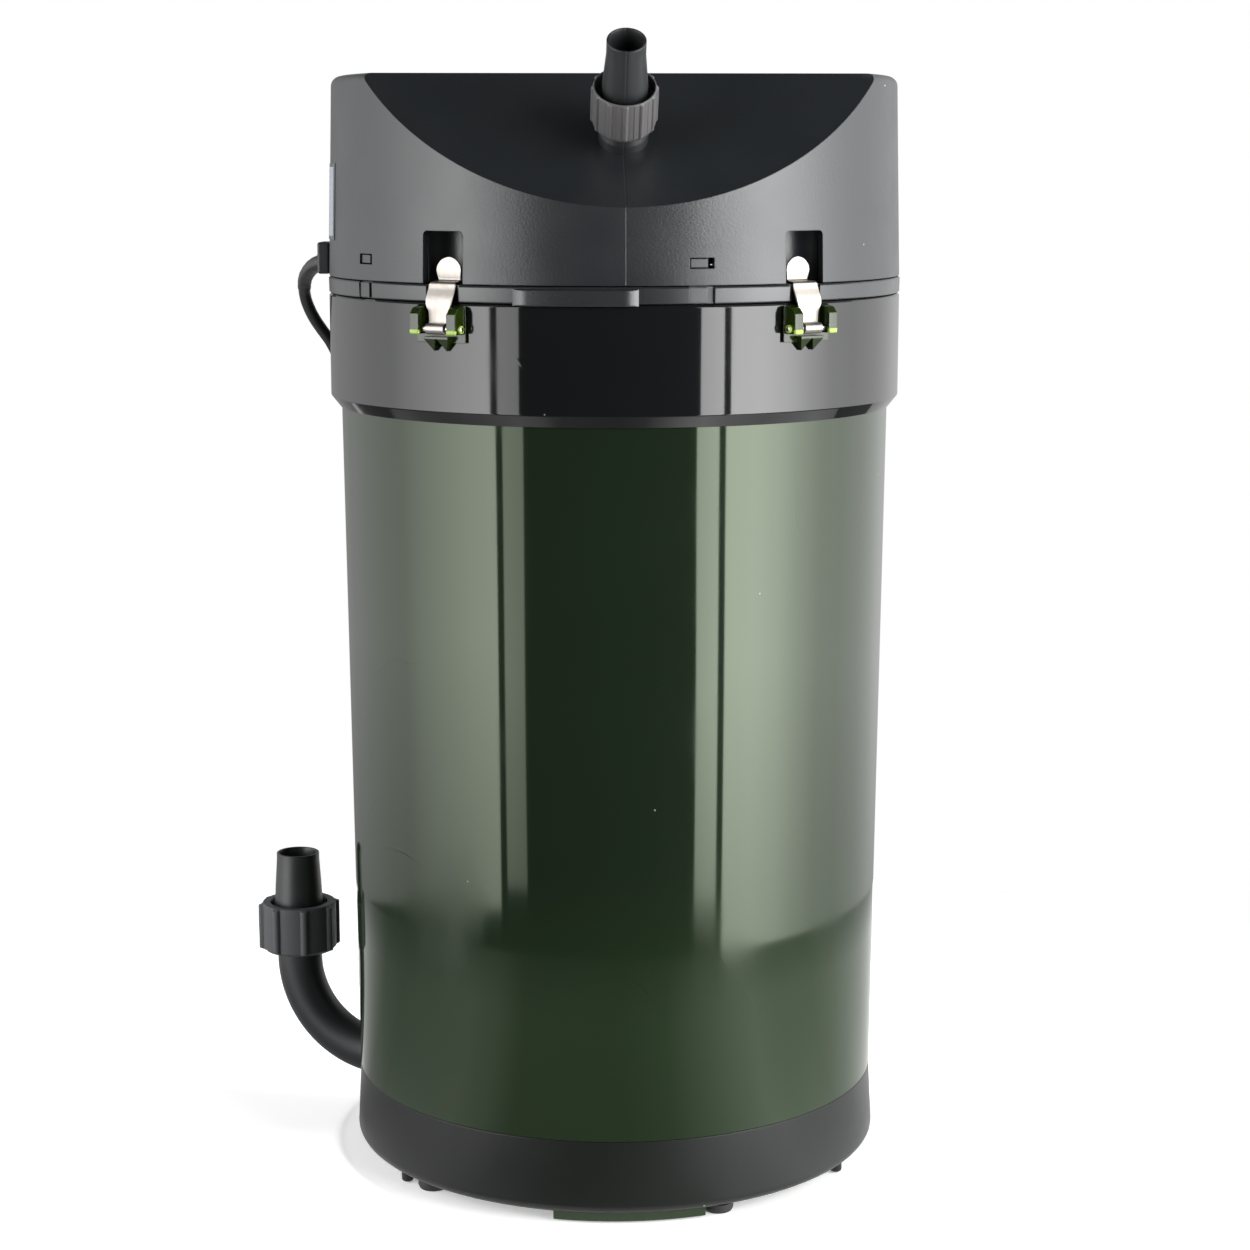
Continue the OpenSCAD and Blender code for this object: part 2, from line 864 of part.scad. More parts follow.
module outlet_union_nut() {
    lip_low = outlet_flange_l + 2.7 - outlet_nut_low_l;
    color("#5b5856")
        on_outlet()
            translate([0, 0, outlet_nut_low_l])
                difference() {
                    union() {
                        cylinder(r = 10.2, h = outlet_nut_h);
                        translate([0, 0, 0.6])
                            cylinder(r = 11.1, h = outlet_nut_h - 1.6);
                    }
                    for (i = [0:11])
                        rotate([0, 0, 30 * i + 15])
                            translate([11.6, 0, -join])
                                cylinder(r = 1.2, h = outlet_nut_h + 2 * join, $fn = 24);
                    translate([0, 0, -join])
                        cylinder(r = 7.8, h = outlet_nut_h + 2 * join);
                    translate([0, 0, 2])
                        cylinder(r = 9.1, h = lip_low - 2);
                    translate([0, 0, lip_low + 0.7])
                        cylinder(r = 9.75, h = outlet_nut_h);
                }
}

// ---- Power cord ----

module cord_grommet() {
    color("#161719")
        facing(grommet_azimuth) {
            block([94, seam_z + 0.5], [104, seam_z + 10.8], 8.4);
            block([cover_low_r + 0.1, seam_z + 0.2], [cover_low_r + 4.6, seam_z + 11.6], 12.4);
        }
}

function relief_path() = [for (i = [0:relief_rings - 1]) smooth(CORD_ROUTE, 3)[i + 1]];

module strain_relief() {
    color("#161719")
        sweep(relief_path(), [for (i = [0:relief_rings - 1])
                                  relief_r + (relief_end_r - relief_r) * i / (relief_rings - 1)]);
}

module mains_cord() {
    path = smooth(CORD_ROUTE, 2);
    color("#1c1d1f")
        sweep(path, [for (p = path) cord_d / 2]);
}

module cord_coil() {
    color("#1c1d1f")
        translate(coil_at)
            rotate_extrude()
                translate([coil_mid_r - coil_w / 2, 0])
                    square([coil_w, coil_h]);
}

module plug_lead() {
    path = smooth(PLUG_ROUTE, 2);
    color("#1c1d1f")
        sweep(path, [for (p = path) cord_d / 2]);
}

module cord_tie() {
    color("#e4e4de")
        translate(coil_at + [coil_mid_r, 0, coil_h / 2])
            difference() {
                cube([coil_w + 2 * tie_t + 0.2, 4, coil_h + 2 * tie_t + 0.1], center = true);
                cube([coil_w + 0.2, 6, coil_h + 0.1], center = true);
            }
}

module mains_plug() {
    color("#1c1d1f")
        translate(PLUG_ROUTE[len(PLUG_ROUTE) - 1])
            intersection() {
                translate([0, -plug_w / 2, -plug_h / 2])
                    cube([plug_l, plug_w, plug_h]);
                rotate([0, 90, 0])
                    cylinder(r1 = 7, r2 = 42, h = plug_l);
            }
}

module plug_pins() {
    color("#d6c48a")
        translate(PLUG_ROUTE[len(PLUG_ROUTE) - 1])
            for (side = [-1, 1])
                translate([plug_l, side * plug_pin_gap / 2, 0])
                    rotate([0, 90, 0])
                        cylinder(r = 2, h = 19, $fn = 32);
}

tank();
tank_collar();
base_band();
rubber_feet();
clip_lugs();
clip_pins();
clip_front_left();
clip_front_right();
clip_rear_left();
clip_rear_right();
inlet_port_seal();
inlet_elbow();
inlet_washer();
inlet_nozzle();
inlet_union_nut();
lower_lattice();
coarse_pad();
bio_media();
fine_pad();
upper_lattice();
head_seal();
head_base();
pump_cover();
impeller();
rotor_magnet();
rotor_shaft();
upper_bushing();
lower_bushing();
stator_core();
stator_coils();
stator_screws();
outlet_duct();
outlet_washer();
outlet_nozzle();
outlet_union_nut();
head_cover();
rating_label();
cord_grommet();
strain_relief();
mains_cord();
cord_coil();
plug_lead();
cord_tie();
mains_plug();
plug_pins();
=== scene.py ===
"""Looks of a round aquarium canister filter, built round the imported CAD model. Metres, Z up."""
import math

import bmesh
import bpy
from mathutils import Matrix, Vector

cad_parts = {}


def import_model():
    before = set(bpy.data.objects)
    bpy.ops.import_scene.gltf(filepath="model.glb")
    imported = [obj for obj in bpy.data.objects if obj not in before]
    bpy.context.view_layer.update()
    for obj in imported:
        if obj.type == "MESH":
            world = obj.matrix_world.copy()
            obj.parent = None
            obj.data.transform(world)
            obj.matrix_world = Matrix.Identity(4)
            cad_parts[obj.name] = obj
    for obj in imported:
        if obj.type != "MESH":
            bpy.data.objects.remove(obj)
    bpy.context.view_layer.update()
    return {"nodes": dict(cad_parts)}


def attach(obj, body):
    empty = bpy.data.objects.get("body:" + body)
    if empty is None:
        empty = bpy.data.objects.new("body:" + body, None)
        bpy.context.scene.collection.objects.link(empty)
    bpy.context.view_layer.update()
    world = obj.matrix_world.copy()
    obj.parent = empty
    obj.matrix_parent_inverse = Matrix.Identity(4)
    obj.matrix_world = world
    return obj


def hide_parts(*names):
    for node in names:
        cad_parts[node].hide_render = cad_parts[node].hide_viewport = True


MM = 0.001

# ---- The filter's main measures, in millimetres, as in the CAD model ----

CANISTER_R = 102.5
TANK_TOP_R = 98.7
TANK_BASE_R = 95.9
BAND_TOP = 30.5
COLLAR_LOW = 277.5
FLANGE_LOW = 318.0
SEAM = 323.6
COVER_LOW = 323.9
COVER_LOW_R = 102.4
COVER_HIGH_R = 100.6
COVER_WALL = 2.5
COVER_EDGE = 3.4
TOP = 393.3
SLOPE_FOOT = (-101.3, 349.5)
SLOPE = math.radians(40)
OUTLET_FOOT = (0.0, -75.4, 371.3)
DUCT_LEAN = math.radians(37.4)
CLIP_AZIMUTHS = {"front_left": -36, "front_right": 36, "rear_left": -144, "rear_right": 144}
PIN_Z = 309.3
PIN_R = 1.0
PIN_ORBIT = 105.45
SNAP_AZIMUTHS = [-58, 14, 86, 158, -130]
GROMMET_AZIMUTH = -95
PORT_AZIMUTH = -112
PORT_Z = 19.5
NOZZLE_ORBIT = 132.0
ELBOW_BEND = 36.0
INLET_RIB = 34.0
FOOT_ORBIT = 88.2
FOOT_AZIMUTHS = [-50, 22, 94, 166, 238]
STUB_ORBIT = 92.4
STUB_AZIMUTHS = [-56.5, 58.5, 180]
POCKET_ORBIT = 98.9
LABEL_AZIMUTH = -87.4
RIB_ROOT = 10.0  # no ribs further in than this on either nut
PAD_AZIMUTH = -9.5
PAD_ANGLE = 23.4
ROUND = 320  # sides of the largest turned pieces

# ---- The cord: its route repeats the one in the CAD model ----

CORD_D = 4.4
CORD_ROUTE = [
    (-103.4, 5.6, 328.2), (-106.1, 8.2, 327.7), (-108.8, 11.4, 326.5), (-111, 15, 324.5),
    (-112.7, 18.9, 321.7), (-113.4, 22.6, 318.2), (-113.3, 26.1, 314.4), (-112.3, 29.4, 310.4),
    (-110.6, 32.4, 306.3), (-108.2, 35.4, 302.1), (-105.1, 38.6, 297.1), (-101.3, 42.8, 288),
    (-97.8, 47.6, 278.5),
    (-94.3, 53, 266.5), (-91.3, 58.8, 252), (-88.8, 64, 233), (-87.2, 68, 207),
    (-86.3, 70, 175), (-86, 71, 140), (-86, 71, 105), (-86, 72, 72),
    (-86, 74.5, 46), (-85, 79.5, 26), (-81.5, 87, 11), (-74.5, 95, 4),
    (-63.5, 102.5, 2.6), (-48, 107.5, 2.8), (-30, 109, 3.1),
]
PLUG_ROUTE = [(-10, 109, 16.3), (2, 109.2, 15), (14, 109.6, 12.4), (26, 110.6, 9.4), (42, 112, 6.9)]
COIL_AT = (-15.0, 135.84, 0.9)
COIL_MID_R = 5.6 * CORD_D
COIL_STEPS = 18

# ---- The table, in metres ----

TABLE_R = 0.385

# ---- Small mesh tools ----


def new_object(name, data):
    thing = bpy.data.objects.new(name, data)
    bpy.context.scene.collection.objects.link(thing)
    return thing


def put(name, bm, smooth=35, steady=True):
    """Makes a piece out of a bmesh, with smooth shading except across sharp edges."""
    bmesh.ops.remove_doubles(bm, verts=bm.verts, dist=2e-6)
    bmesh.ops.dissolve_degenerate(bm, edges=bm.edges, dist=1e-6)
    loose = [e for e in bm.edges if not e.link_faces]
    bmesh.ops.delete(bm, geom=loose, context="EDGES")
    bmesh.ops.recalc_face_normals(bm, faces=bm.faces)
    mesh = bpy.data.meshes.new(name)
    bm.to_mesh(mesh)
    bm.free()
    piece = new_object(name, mesh)
    soften(piece, smooth, steady)
    return piece


def soften(piece, smooth=35, steady=True):
    """Smooth shading across gentle edges. Steady keeps the direction of large faces."""
    for face in piece.data.polygons:
        face.use_smooth = True
    piece.data.set_sharp_from_angle(angle=math.radians(smooth))
    if not steady:
        return
    step = piece.modifiers.new("shade", "WEIGHTED_NORMAL")
    step.keep_sharp = True
    bpy.context.view_layer.objects.active = piece
    bpy.ops.object.modifier_apply(modifier=step.name)


def turned(degrees, axis):
    return Matrix.Rotation(math.radians(degrees), 4, axis)


def shifted(x, y=0, z=0):
    return Matrix.Translation((x, y, z))


def facing(azimuth):
    """Turns +X to look outwards at an azimuth, which grows from the front (-Y) towards +X."""
    return turned(azimuth - 90, "Z")


def on_outlet():
    """Z runs along the outlet, out of the sloped face. Millimetres."""
    return shifted(*OUTLET_FOOT) @ Matrix.Rotation(SLOPE, 4, "X")


def on_inlet():
    """Z runs up the inlet spigot from the height of its port. Millimetres."""
    return facing(PORT_AZIMUTH) @ shifted(NOZZLE_ORBIT, 0, PORT_Z)


def moved(bm, place):
    bmesh.ops.transform(bm, matrix=place, verts=bm.verts)
    return bm


def metres(bm, place=None):
    """Takes a bmesh in millimetres to its place, in metres."""
    matrix = Matrix.Scale(MM, 4)
    return moved(bm, matrix if place is None else matrix @ place)


def merge(parts):
    """One bmesh that holds several, which are used up."""
    whole = bmesh.new()
    for part in parts:
        mesh = bpy.data.meshes.new("part")
        part.to_mesh(mesh)
        part.free()
        whole.from_mesh(mesh)
        bpy.data.meshes.remove(mesh)
    return whole


def fillet(points, radii, steps=5):
    """Rounds the corners of a closed outline. radii maps a corner's index to its radius."""
    outline = []
    count = len(points)
    for i, point in enumerate(points):
        radius = radii.get(i, 0)
        here = Vector(point)
        if not radius:
            outline.append(here)
            continue
        before = (Vector(points[i - 1]) - here).normalized()
        after = (Vector(points[(i + 1) % count]) - here).normalized()
        half = before.angle(after) / 2
        centre = here + (before + after).normalized() * radius / math.sin(half)
        first = here + before * radius / math.tan(half) - centre
        last = here + after * radius / math.tan(half) - centre
        turn = first.angle_signed(last)
        for k in range(steps + 1):
            outline.append(centre + Matrix.Rotation(-turn * k / steps, 2) @ first)
    return outline


def loft(sections, closed=False):
    """A skin through sections that have the same number of points. It runs back to the first one,
    or has a cap at each end."""
    bm = bmesh.new()
    rings = [[bm.verts.new(p) for p in section] for section in sections]
    pairs = list(zip(rings, rings[1:]))
    if closed:
        pairs.append((rings[-1], rings[0]))
    for a, b in pairs:
        for k in range(len(a)):
            n = (k + 1) % len(a)
            quad = [a[k], a[n], b[n], b[k]]
            bm.faces.new(quad)
    if not closed:
        bm.faces.new(rings[0])
        bm.faces.new(rings[-1])
    return bm


def lathe(outline, segments, start=0.0, sweep=360.0, shape=None):
    """Turns a closed outline of (radius, height) about Z. shape changes a radius with its angle."""
    whole = abs(sweep - 360) < 1e-6
    sections = []
    for c in range(segments if whole else segments + 1):
        angle = math.radians(start + sweep * c / segments)
        section = []
        for r, z in outline:
            reach = shape(r, z, angle) if shape else r
            section.append((reach * math.cos(angle), reach * math.sin(angle), z))
        sections.append(section)
    return loft(sections, whole)


def block(low, high, bevel=0.4, segments=3):
    """A block with rounded edges."""
    bm = bmesh.new()
    bmesh.ops.create_cube(bm, size=1.0)
    low = Vector(low)
    high = Vector(high)
    for v in bm.verts:
        v.co = Vector(low[i] + (v.co[i] + 0.5) * (high[i] - low[i]) for i in range(3))
    if bevel:
        bmesh.ops.bevel(bm, geom=bm.edges[:], offset=bevel, segments=segments, affect="EDGES", profile=0.5)
    return bm


def prism(outline, low, high, bevel=0.0):
    """A flat outline in X and Y, raised along Z."""
    bm = loft([[(x, y, z) for x, y in outline] for z in (low, high)])
    bmesh.ops.recalc_face_normals(bm, faces=bm.faces)
    if bevel:
        bmesh.ops.bevel(bm, geom=bm.edges[:], offset=bevel, segments=2, affect="EDGES", profile=0.5)
    return bm


def frames(path):
    """A steady pair of side directions at each point of a path."""
    found = []
    side = None
    last = len(path) - 1
    for i in range(len(path)):
        ahead = (path[min(i + 1, last)] - path[max(i - 1, 0)]).normalized()
        if side is None:
            side = ahead.orthogonal().normalized()
        side = (side - ahead * side.dot(ahead)).normalized()
        found.append((side, ahead.cross(side)))
    return found


def hoop(point, radius, directions, sides):
    """A circle of points across a path."""
    side, up = directions
    turn = [2 * math.pi * k / sides for k in range(sides)]
    return [point + radius * (math.cos(a) * side + math.sin(a) * up) for a in turn]


def sweep_tube(path, radii):
    """A round tube of changing radius along a path, closed at both ends."""
    return loft([hoop(*at, 28) for at in zip(path, radii, frames(path))])


def smooth_route(route, steps):
    """A Catmull-Rom curve through the points of a route."""
    points = [Vector(p) for p in route]
    last = len(points) - 1
    curve = []
    for i in range(last):
        a = points[max(i - 1, 0)]
        b = points[i]
        c = points[i + 1]
        d = points[min(i + 2, last)]
        for s in range(steps):
            t = s / steps
            curve.append((2 * b + (c - a) * t + (2 * a - 5 * b + 4 * c - d) * t * t
                          + (3 * b - a - 3 * c + d) * t ** 3) / 2)
    curve.append(points[last])
    return curve


def cut(piece, cutter_bm, steady=True):
    """Cuts a piece with a shape that is in metres, and is used up."""
    cutter = put("cutter", cutter_bm, steady=False)
    step = piece.modifiers.new("cut", "BOOLEAN")
    step.operation = "DIFFERENCE"
    step.solver = "MANIFOLD"
    step.object = cutter
    bpy.context.view_layer.objects.active = piece
    bpy.ops.object.modifier_apply(modifier=step.name)
    bpy.data.objects.remove(cutter)
    soften(piece, steady=steady)


def finish_piece(piece, slot, material, *nodes, body="canister"):
    """Gives a piece its material and its body, and hides the CAD nodes that it stands for. The slot is not
    used.
    """
    piece.data.materials.clear()
    piece.data.materials.append(material)
    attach(piece, body)
    if nodes:
        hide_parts(*nodes)
    return piece


def add_piece(name, bm, slot, material, *nodes, place=None, body="canister", smooth=35):
    """Makes a finished piece out of a bmesh in millimetres."""
    piece = put(name, metres(bm, place), smooth)
    return finish_piece(piece, slot, material, *nodes, body=body)
# ---- Camera, floor and light ----


def make_camera():
    """The photograph's viewpoint, from the camera that was fitted to it."""
    data = bpy.data.cameras.new("camera")
    data.sensor_width = 36.0
    data.lens = 77.1
    data.shift_y = 0.0028
    data.clip_start = 0.01
    camera = new_object("camera", data)
    camera.location = (-0.0382, -0.9745, 0.3628)
    camera.rotation_euler = (math.radians(80.165), 0.0, math.radians(-2.47))
    bpy.context.scene.camera = camera


def glow_material(name, strength=1.0, attribute=None):
    """White light. Its strength may be read from an attribute of the mesh."""
    material = bpy.data.materials.new(name)
    material.use_nodes = True
    tree = material.node_tree
    tree.nodes.clear()
    if attribute:
        strength = add(tree, "Attribute", attribute_name=attribute).outputs["Fac"]
    emit = add(tree, "Emission", {"Color": (1, 1, 1, 1), "Strength": strength})
    add(tree, "OutputMaterial", {"Surface": emit.outputs["Emission"]})
    return material


def between(stops, x):
    """A value read from a list of (position, value) stops."""
    for (x0, v0), (x1, v1) in zip(stops, stops[1:]):
        if x0 <= x <= x1:
            return v0 + (v1 - v0) * (x - x0) / (x1 - x0)
    return stops[0][1] if x < stops[0][0] else stops[-1][1]


def light_wall(name, stops, low, high, radius=1.5, fade=0.0):
    """A softbox: part of a tall round wall. Its brightness changes with the angle from the front,
    and falls off over the fade at its foot."""
    first = stops[0][0]
    last = stops[-1][0]
    count = max(2, int(abs(last - first) / 3))

    def column(angle):
        value = between(stops, angle)
        foot = [(radius, low, value * 0.6)] if fade else []
        return foot + [(radius, low + fade, value), (radius, high, value)]

    glow_card(name, [first + (last - first) * c / count for c in range(count + 1)], column)


def glow_card(name, angles, column):
    """A card round the middle that gives light and isn't seen itself. For an angle from the front,
    column gives its points there as (radius, height, brightness)."""
    bm = bmesh.new()
    columns = []
    glow = []
    for angle in angles:
        side = math.radians(angle)
        points = []
        for radius, z, value in column(angle):
            points.append(bm.verts.new((radius * math.sin(side), -radius * math.cos(side), z)))
            glow.append(value)
        columns.append(points)
    for a, b in zip(columns, columns[1:]):
        for k in range(len(a) - 1):
            bm.faces.new([a[k], b[k], b[k + 1], a[k + 1]])
    mesh = bpy.data.meshes.new(name)
    bm.to_mesh(mesh)
    bm.free()
    layer = mesh.attributes.new("card_glow", "FLOAT", "POINT")
    layer.data.foreach_set("value", glow)
    card = new_object(name, mesh)
    stage_card(card, glow_material(name, attribute="card_glow"))


def stage_card(card, material):
    """Gives a card its material, hidden from the camera and from shadows: it lights the object, or is
    reflected, but isn't seen itself.
    """
    card.data.materials.append(material)
    card.visible_camera = False
    card.visible_shadow = False


def dark_card(name, low, high, shade):
    card = put(name, block(low, high, bevel=0))
    stage_card(card, glow_material(name, shade))


def table_card():
    """What the polished wall reflects of the table: paler at the sides, and fading at its far edge."""
    height = 0.0015

    def column(angle):
        value = between(TABLE, angle)
        return [(0.105, height, value), (0.31, height, value), (TABLE_R, height, value * 0.5)]

    glow_card("table_card", range(-150, 151, 2), column)


def make_floor():
    """A round pale table, small enough for the softboxes to be mirrored from below its edge."""
    outline = [(0, -0.02), (TABLE_R, -0.02), (TABLE_R, 0), (0, 0)]
    floor = put("floor", lathe(outline, segments=128))
    material, tree, shader, _ = start_material("floor_white")
    connect(tree, shader, {
        "Base Color": (0.93, 0.93, 0.93, 1), "Roughness": 0.9, "Specular IOR Level": 0.1,
        "Emission Color": (1, 1, 1, 1), "Emission Strength": 0.35,
    })
    floor.data.materials.append(material)


def make_light():
    """White surroundings with two softboxes, and a dark room in front and overhead."""
    world = bpy.data.worlds.new("white")
    world.use_nodes = True
    background = world.node_tree.nodes["Background"]
    connect(world.node_tree, background, {"Color": (1, 1, 1, 1), "Strength": 1.0})
    bpy.context.scene.world = world
    bpy.context.scene.view_settings.view_transform = "Standard"
    light_wall("softbox_left", LEFT_WALL, -0.32, 1.25, fade=0.25)
    light_wall("softbox_left_edge", LEFT_STRIP, -0.30, 1.25, fade=0.2)
    light_wall("softbox_right", RIGHT_WALL, -0.39, 1.25, fade=0.3)
    light_wall("softbox_right_edge", RIGHT_STRIP, -0.32, 1.25, fade=0.2)
    light_wall("dark_room", ROOM, -1.2, 1.9, radius=1.7)
    dark_card("ceiling", (-2.2, -2.2, 1.9), (2.2, 1.4, 1.92), shade=0.03)
    table_card()


# Softbox brightness at angles from the front, in degrees
LEFT_STRIP = [(-47.5, 3.9), (-38.6, 3.3)]
LEFT_WALL = [(-176, 0.3), (-162, 0.35), (-146, 0.6), (-130, 1.0), (-112, 1.5), (-98, 2.0), (-84, 3.5),
             (-64, 5.7), (-50.4, 6.8)]
RIGHT_STRIP = [(30.8, 7.6), (40.2, 9.2)]
RIGHT_WALL = [(43, 10.4), (56, 10.4), (68, 8.4), (78, 5.7), (90, 3.4), (104, 2.3), (121, 1.7), (142, 1.2),
              (158, 0.7), (176, 0.45)]
ROOM = [(-150, 0.1), (-56, 0.04), (-10, 0.025), (10, 0.03), (20, 0.04), (56, 0.06), (150, 0.1)]
TABLE = [(-150, 0.9), (-128, 0.8), (-108, 0.35), (-94, 0.35), (-78, 0.6), (-58, 0.95), (-46, 0.75),
         (-36, 0.3), (0, 0.22), (16, 0.35), (30, 1.0), (40, 1.5), (50, 1.9), (62, 1.4), (80, 1.0),
         (104, 1.1), (150, 1.0)]

# ---- Materials ----


def connect(tree, node, inputs):
    """Sets a node's inputs. An input may be a value, or another node's output to link."""
    for key, value in inputs.items():
        if isinstance(value, bpy.types.NodeSocket):
            tree.links.new(value, node.inputs[key])
        else:
            node.inputs[key].default_value = value


def add(tree, kind, inputs=None, **settings):
    """Adds a node of a kind such as TexNoise, with its inputs and settings."""
    node = tree.nodes.new("ShaderNode" + kind)
    for key, value in settings.items():
        setattr(node, key, value)
    connect(tree, node, inputs or {})
    return node


def start_material(name):
    material = bpy.data.materials.new(name)
    material.use_nodes = True
    tree = material.node_tree
    place = add(tree, "TexCoord").outputs["Object"]
    return material, tree, tree.nodes["Principled BSDF"], place


def noise(tree, place, scale, detail=3.0, stretch=None):
    """Noise over the piece. A scale of 1000 has features about a millimetre across."""
    if stretch:
        place = add(tree, "Mapping", {"Vector": place, "Scale": stretch}).outputs["Vector"]
    return add(tree, "TexNoise", {"Vector": place, "Scale": scale, "Detail": detail}).outputs["Fac"]


def levels(tree, value, low, high, to_low=0, to_high=1):
    inputs = {"Value": value, "From Min": low, "From Max": high, "To Min": to_low, "To Max": to_high}
    return add(tree, "MapRange", inputs).outputs["Result"]


def tint(tree, fac, colour, spread):
    """The colour, lighter and darker by the spread as fac goes from 0.3 to 0.7."""
    ramp = add(tree, "ValToRGB", {"Fac": fac})
    for end, position, share in zip(ramp.color_ramp.elements, (0.3, 0.7), (1 - spread, 1 + spread)):
        end.position = position
        end.color = (*[c * share for c in colour], 1)
    return ramp.outputs["Color"]


def overlay(tree, fac, below, above):
    """A flat colour over a tone, by fac."""
    inputs = {0: fac, 6: below, 7: (*above, 1)}
    return add(tree, "Mix", inputs, data_type="RGBA").outputs[2]


def specks(tree, place, scale, size, share):
    """1 on small round specks: cells whose random number is below the share."""
    cells = add(tree, "TexVoronoi", {"Vector": place, "Scale": scale})
    near = levels(tree, cells.outputs["Distance"], size, size * 0.6)
    split = add(tree, "SeparateColor", {"Color": cells.outputs["Color"]})
    chosen = levels(tree, split.outputs["Red"], share, share * 0.9)
    return add(tree, "Math", {0: near, 1: chosen}, operation="MULTIPLY").outputs[0]


def bumped(tree, shader, heights, edge=0.0):
    """Adds (height, strength, distance in metres) bumps, over edges rounded by the given radius."""
    normal = None
    if edge:
        normal = add(tree, "Bevel", {"Radius": edge}, samples=4).outputs["Normal"]
    for height, strength, distance in heights:
        inputs = {"Height": height, "Strength": strength, "Distance": distance}
        if normal:
            inputs["Normal"] = normal
        normal = add(tree, "Bump", inputs).outputs["Normal"]
    tree.links.new(normal, shader.inputs["Normal"])


def moulded(name, colour, rough, grain=2500, depth=0.15, dust=0.25, gloss=0.5, seam=False):
    """Moulded plastic: fine texture, slow changes of tone and sheen, and a little dust."""
    material, tree, shader, place = start_material(name)
    tone = tint(tree, noise(tree, place, 14, 5), colour, 0.08)
    fine = noise(tree, place, grain, 2)
    dots = specks(tree, place, 110, 0.045, 0.12 * dust)
    tone = overlay(tree, dots, tone, (0.42, 0.42, 0.40))
    sheen = levels(tree, noise(tree, place, 35, 4), 0.3, 0.7, rough - 0.05, rough + 0.05)
    connect(tree, shader, {"Base Color": tone, "Roughness": sheen, "Specular IOR Level": gloss})
    heights = [(fine, depth, 0.0001), (noise(tree, place, 60, 2), 0.1, 0.0002)]
    if seam:
        heights.append((parting_line(tree, place), 0.4, 0.0002))
    bumped(tree, shader, heights, 0.0004)
    return material


def parting_line(tree, place):
    """A mould's parting line on the plane x = 0."""
    split = add(tree, "SeparateXYZ", {"Vector": place})
    away = add(tree, "Math", {0: split.outputs["X"]}, operation="ABSOLUTE").outputs[0]
    return levels(tree, away, 0.00012, 0.00045)


def glossy(name, colour, rough, scratch=1.0, foot=None, gloss=0.5, sheen_tone=(1, 1, 1)):
    """Polished plastic with faint waves, hairline scratches, wiped smears and dust.
    foot is painted light: a greener tone low down, standing in for the light from the table that comes
    through the wall."""
    material, tree, shader, place = start_material(name)
    tone = tint(tree, noise(tree, place, 9, 3), colour, 0.10)
    # Painted light: the wall is greener towards the bottom, where the table's light comes through it.
    if foot:
        split = add(tree, "SeparateXYZ", {"Vector": place})
        low = levels(tree, split.outputs["Z"], 0.125, 0.070)
        tone = overlay(tree, low, tone, foot)
    dots = specks(tree, place, 110, 0.045, 0.12)
    tone = overlay(tree, dots, tone, (0.17, 0.18, 0.15))
    smear = levels(tree, noise(tree, place, 22, 6, (1, 1, 0.4)), 0.52, 0.75, rough, rough + 0.10)
    connect(tree, shader, {"Base Color": tone, "Roughness": smear, "Specular IOR Level": gloss,
                           "Specular Tint": (*sheen_tone, 1)})
    hair = hairlines(tree, place, scratch)
    slow = noise(tree, place, 16, 1, (1, 1, 0.35))
    bumped(tree, shader, [(slow, 0.12, 0.002), (hair, 0.35, 0.00006)])
    return material


def hairlines(tree, place, amount):
    """Thin wandering scratches, thinned out by a slow noise."""
    wander = add(tree, "TexNoise", {"Vector": place, "Scale": 13, "Detail": 2})
    shift = add(tree, "VectorMath", {0: wander.outputs["Color"], 1: (0.05, 0.05, 0.05)},
                operation="MULTIPLY")
    bent = add(tree, "VectorMath", {0: place, 1: shift.outputs[0]}, operation="ADD")
    waves = add(tree, "TexWave", {"Vector": bent.outputs[0], "Scale": 28, "Distortion": 1.5},
                bands_direction="DIAGONAL")
    lines = levels(tree, waves.outputs["Fac"], 0.990, 1.0)
    where = levels(tree, noise(tree, place, 20, 2), 0.60, 0.68, 0, amount)
    return add(tree, "Math", {0: lines, 1: where}, operation="MULTIPLY").outputs[0]


def metal(name, colour, rough, stretch=(1, 1, 0.05), grain=1800):
    """Metal with drawn lines along one direction and slow tarnish."""
    material, tree, shader, place = start_material(name)
    tone = tint(tree, noise(tree, place, 300, 4), colour, 0.05)
    lines = noise(tree, place, grain, 3, stretch)
    sheen = levels(tree, lines, 0.3, 0.7, rough - 0.06, rough + 0.08)
    connect(tree, shader, {"Base Color": tone, "Metallic": 1.0, "Roughness": sheen})
    bumped(tree, shader, [(lines, 0.12, 0.00005)], 0.0002)
    return material


def rubber(name, colour, rough=0.62, grain=1500):
    material, tree, shader, place = start_material(name)
    tone = tint(tree, noise(tree, place, 45, 5), colour, 0.18)
    sheen = levels(tree, noise(tree, place, 90, 3), 0.3, 0.7, rough - 0.08, rough + 0.08)
    connect(tree, shader, {"Base Color": tone, "Roughness": sheen})
    bumped(tree, shader, [(noise(tree, place, grain, 3), 0.2, 0.0001)], 0.0003)
    return material


def clear_lime(name, colour):
    """Green plastic that lets light through its thin edges."""
    material, tree, shader, place = start_material(name)
    tone = tint(tree, noise(tree, place, 160, 3), colour, 0.15)
    connect(tree, shader, {"Base Color": tone, "Roughness": 0.16, "Transmission Weight": 0.25, "IOR": 1.52})
    bumped(tree, shader, [(noise(tree, place, 400, 2), 0.1, 0.0001)], 0.0003)
    return material


def porous(name, colour, scale, depth, spread=0.3):
    """Foam, floss or a bed of ceramic: open cells."""
    material, tree, shader, place = start_material(name)
    cells = add(tree, "TexVoronoi", {"Vector": place, "Scale": scale}).outputs["Distance"]
    tone = tint(tree, cells, colour, spread)
    connect(tree, shader, {"Base Color": tone, "Roughness": 0.9})
    bumped(tree, shader, [(cells, 0.8, depth), (noise(tree, place, scale * 3, 4), 0.4, depth / 3)])
    return material


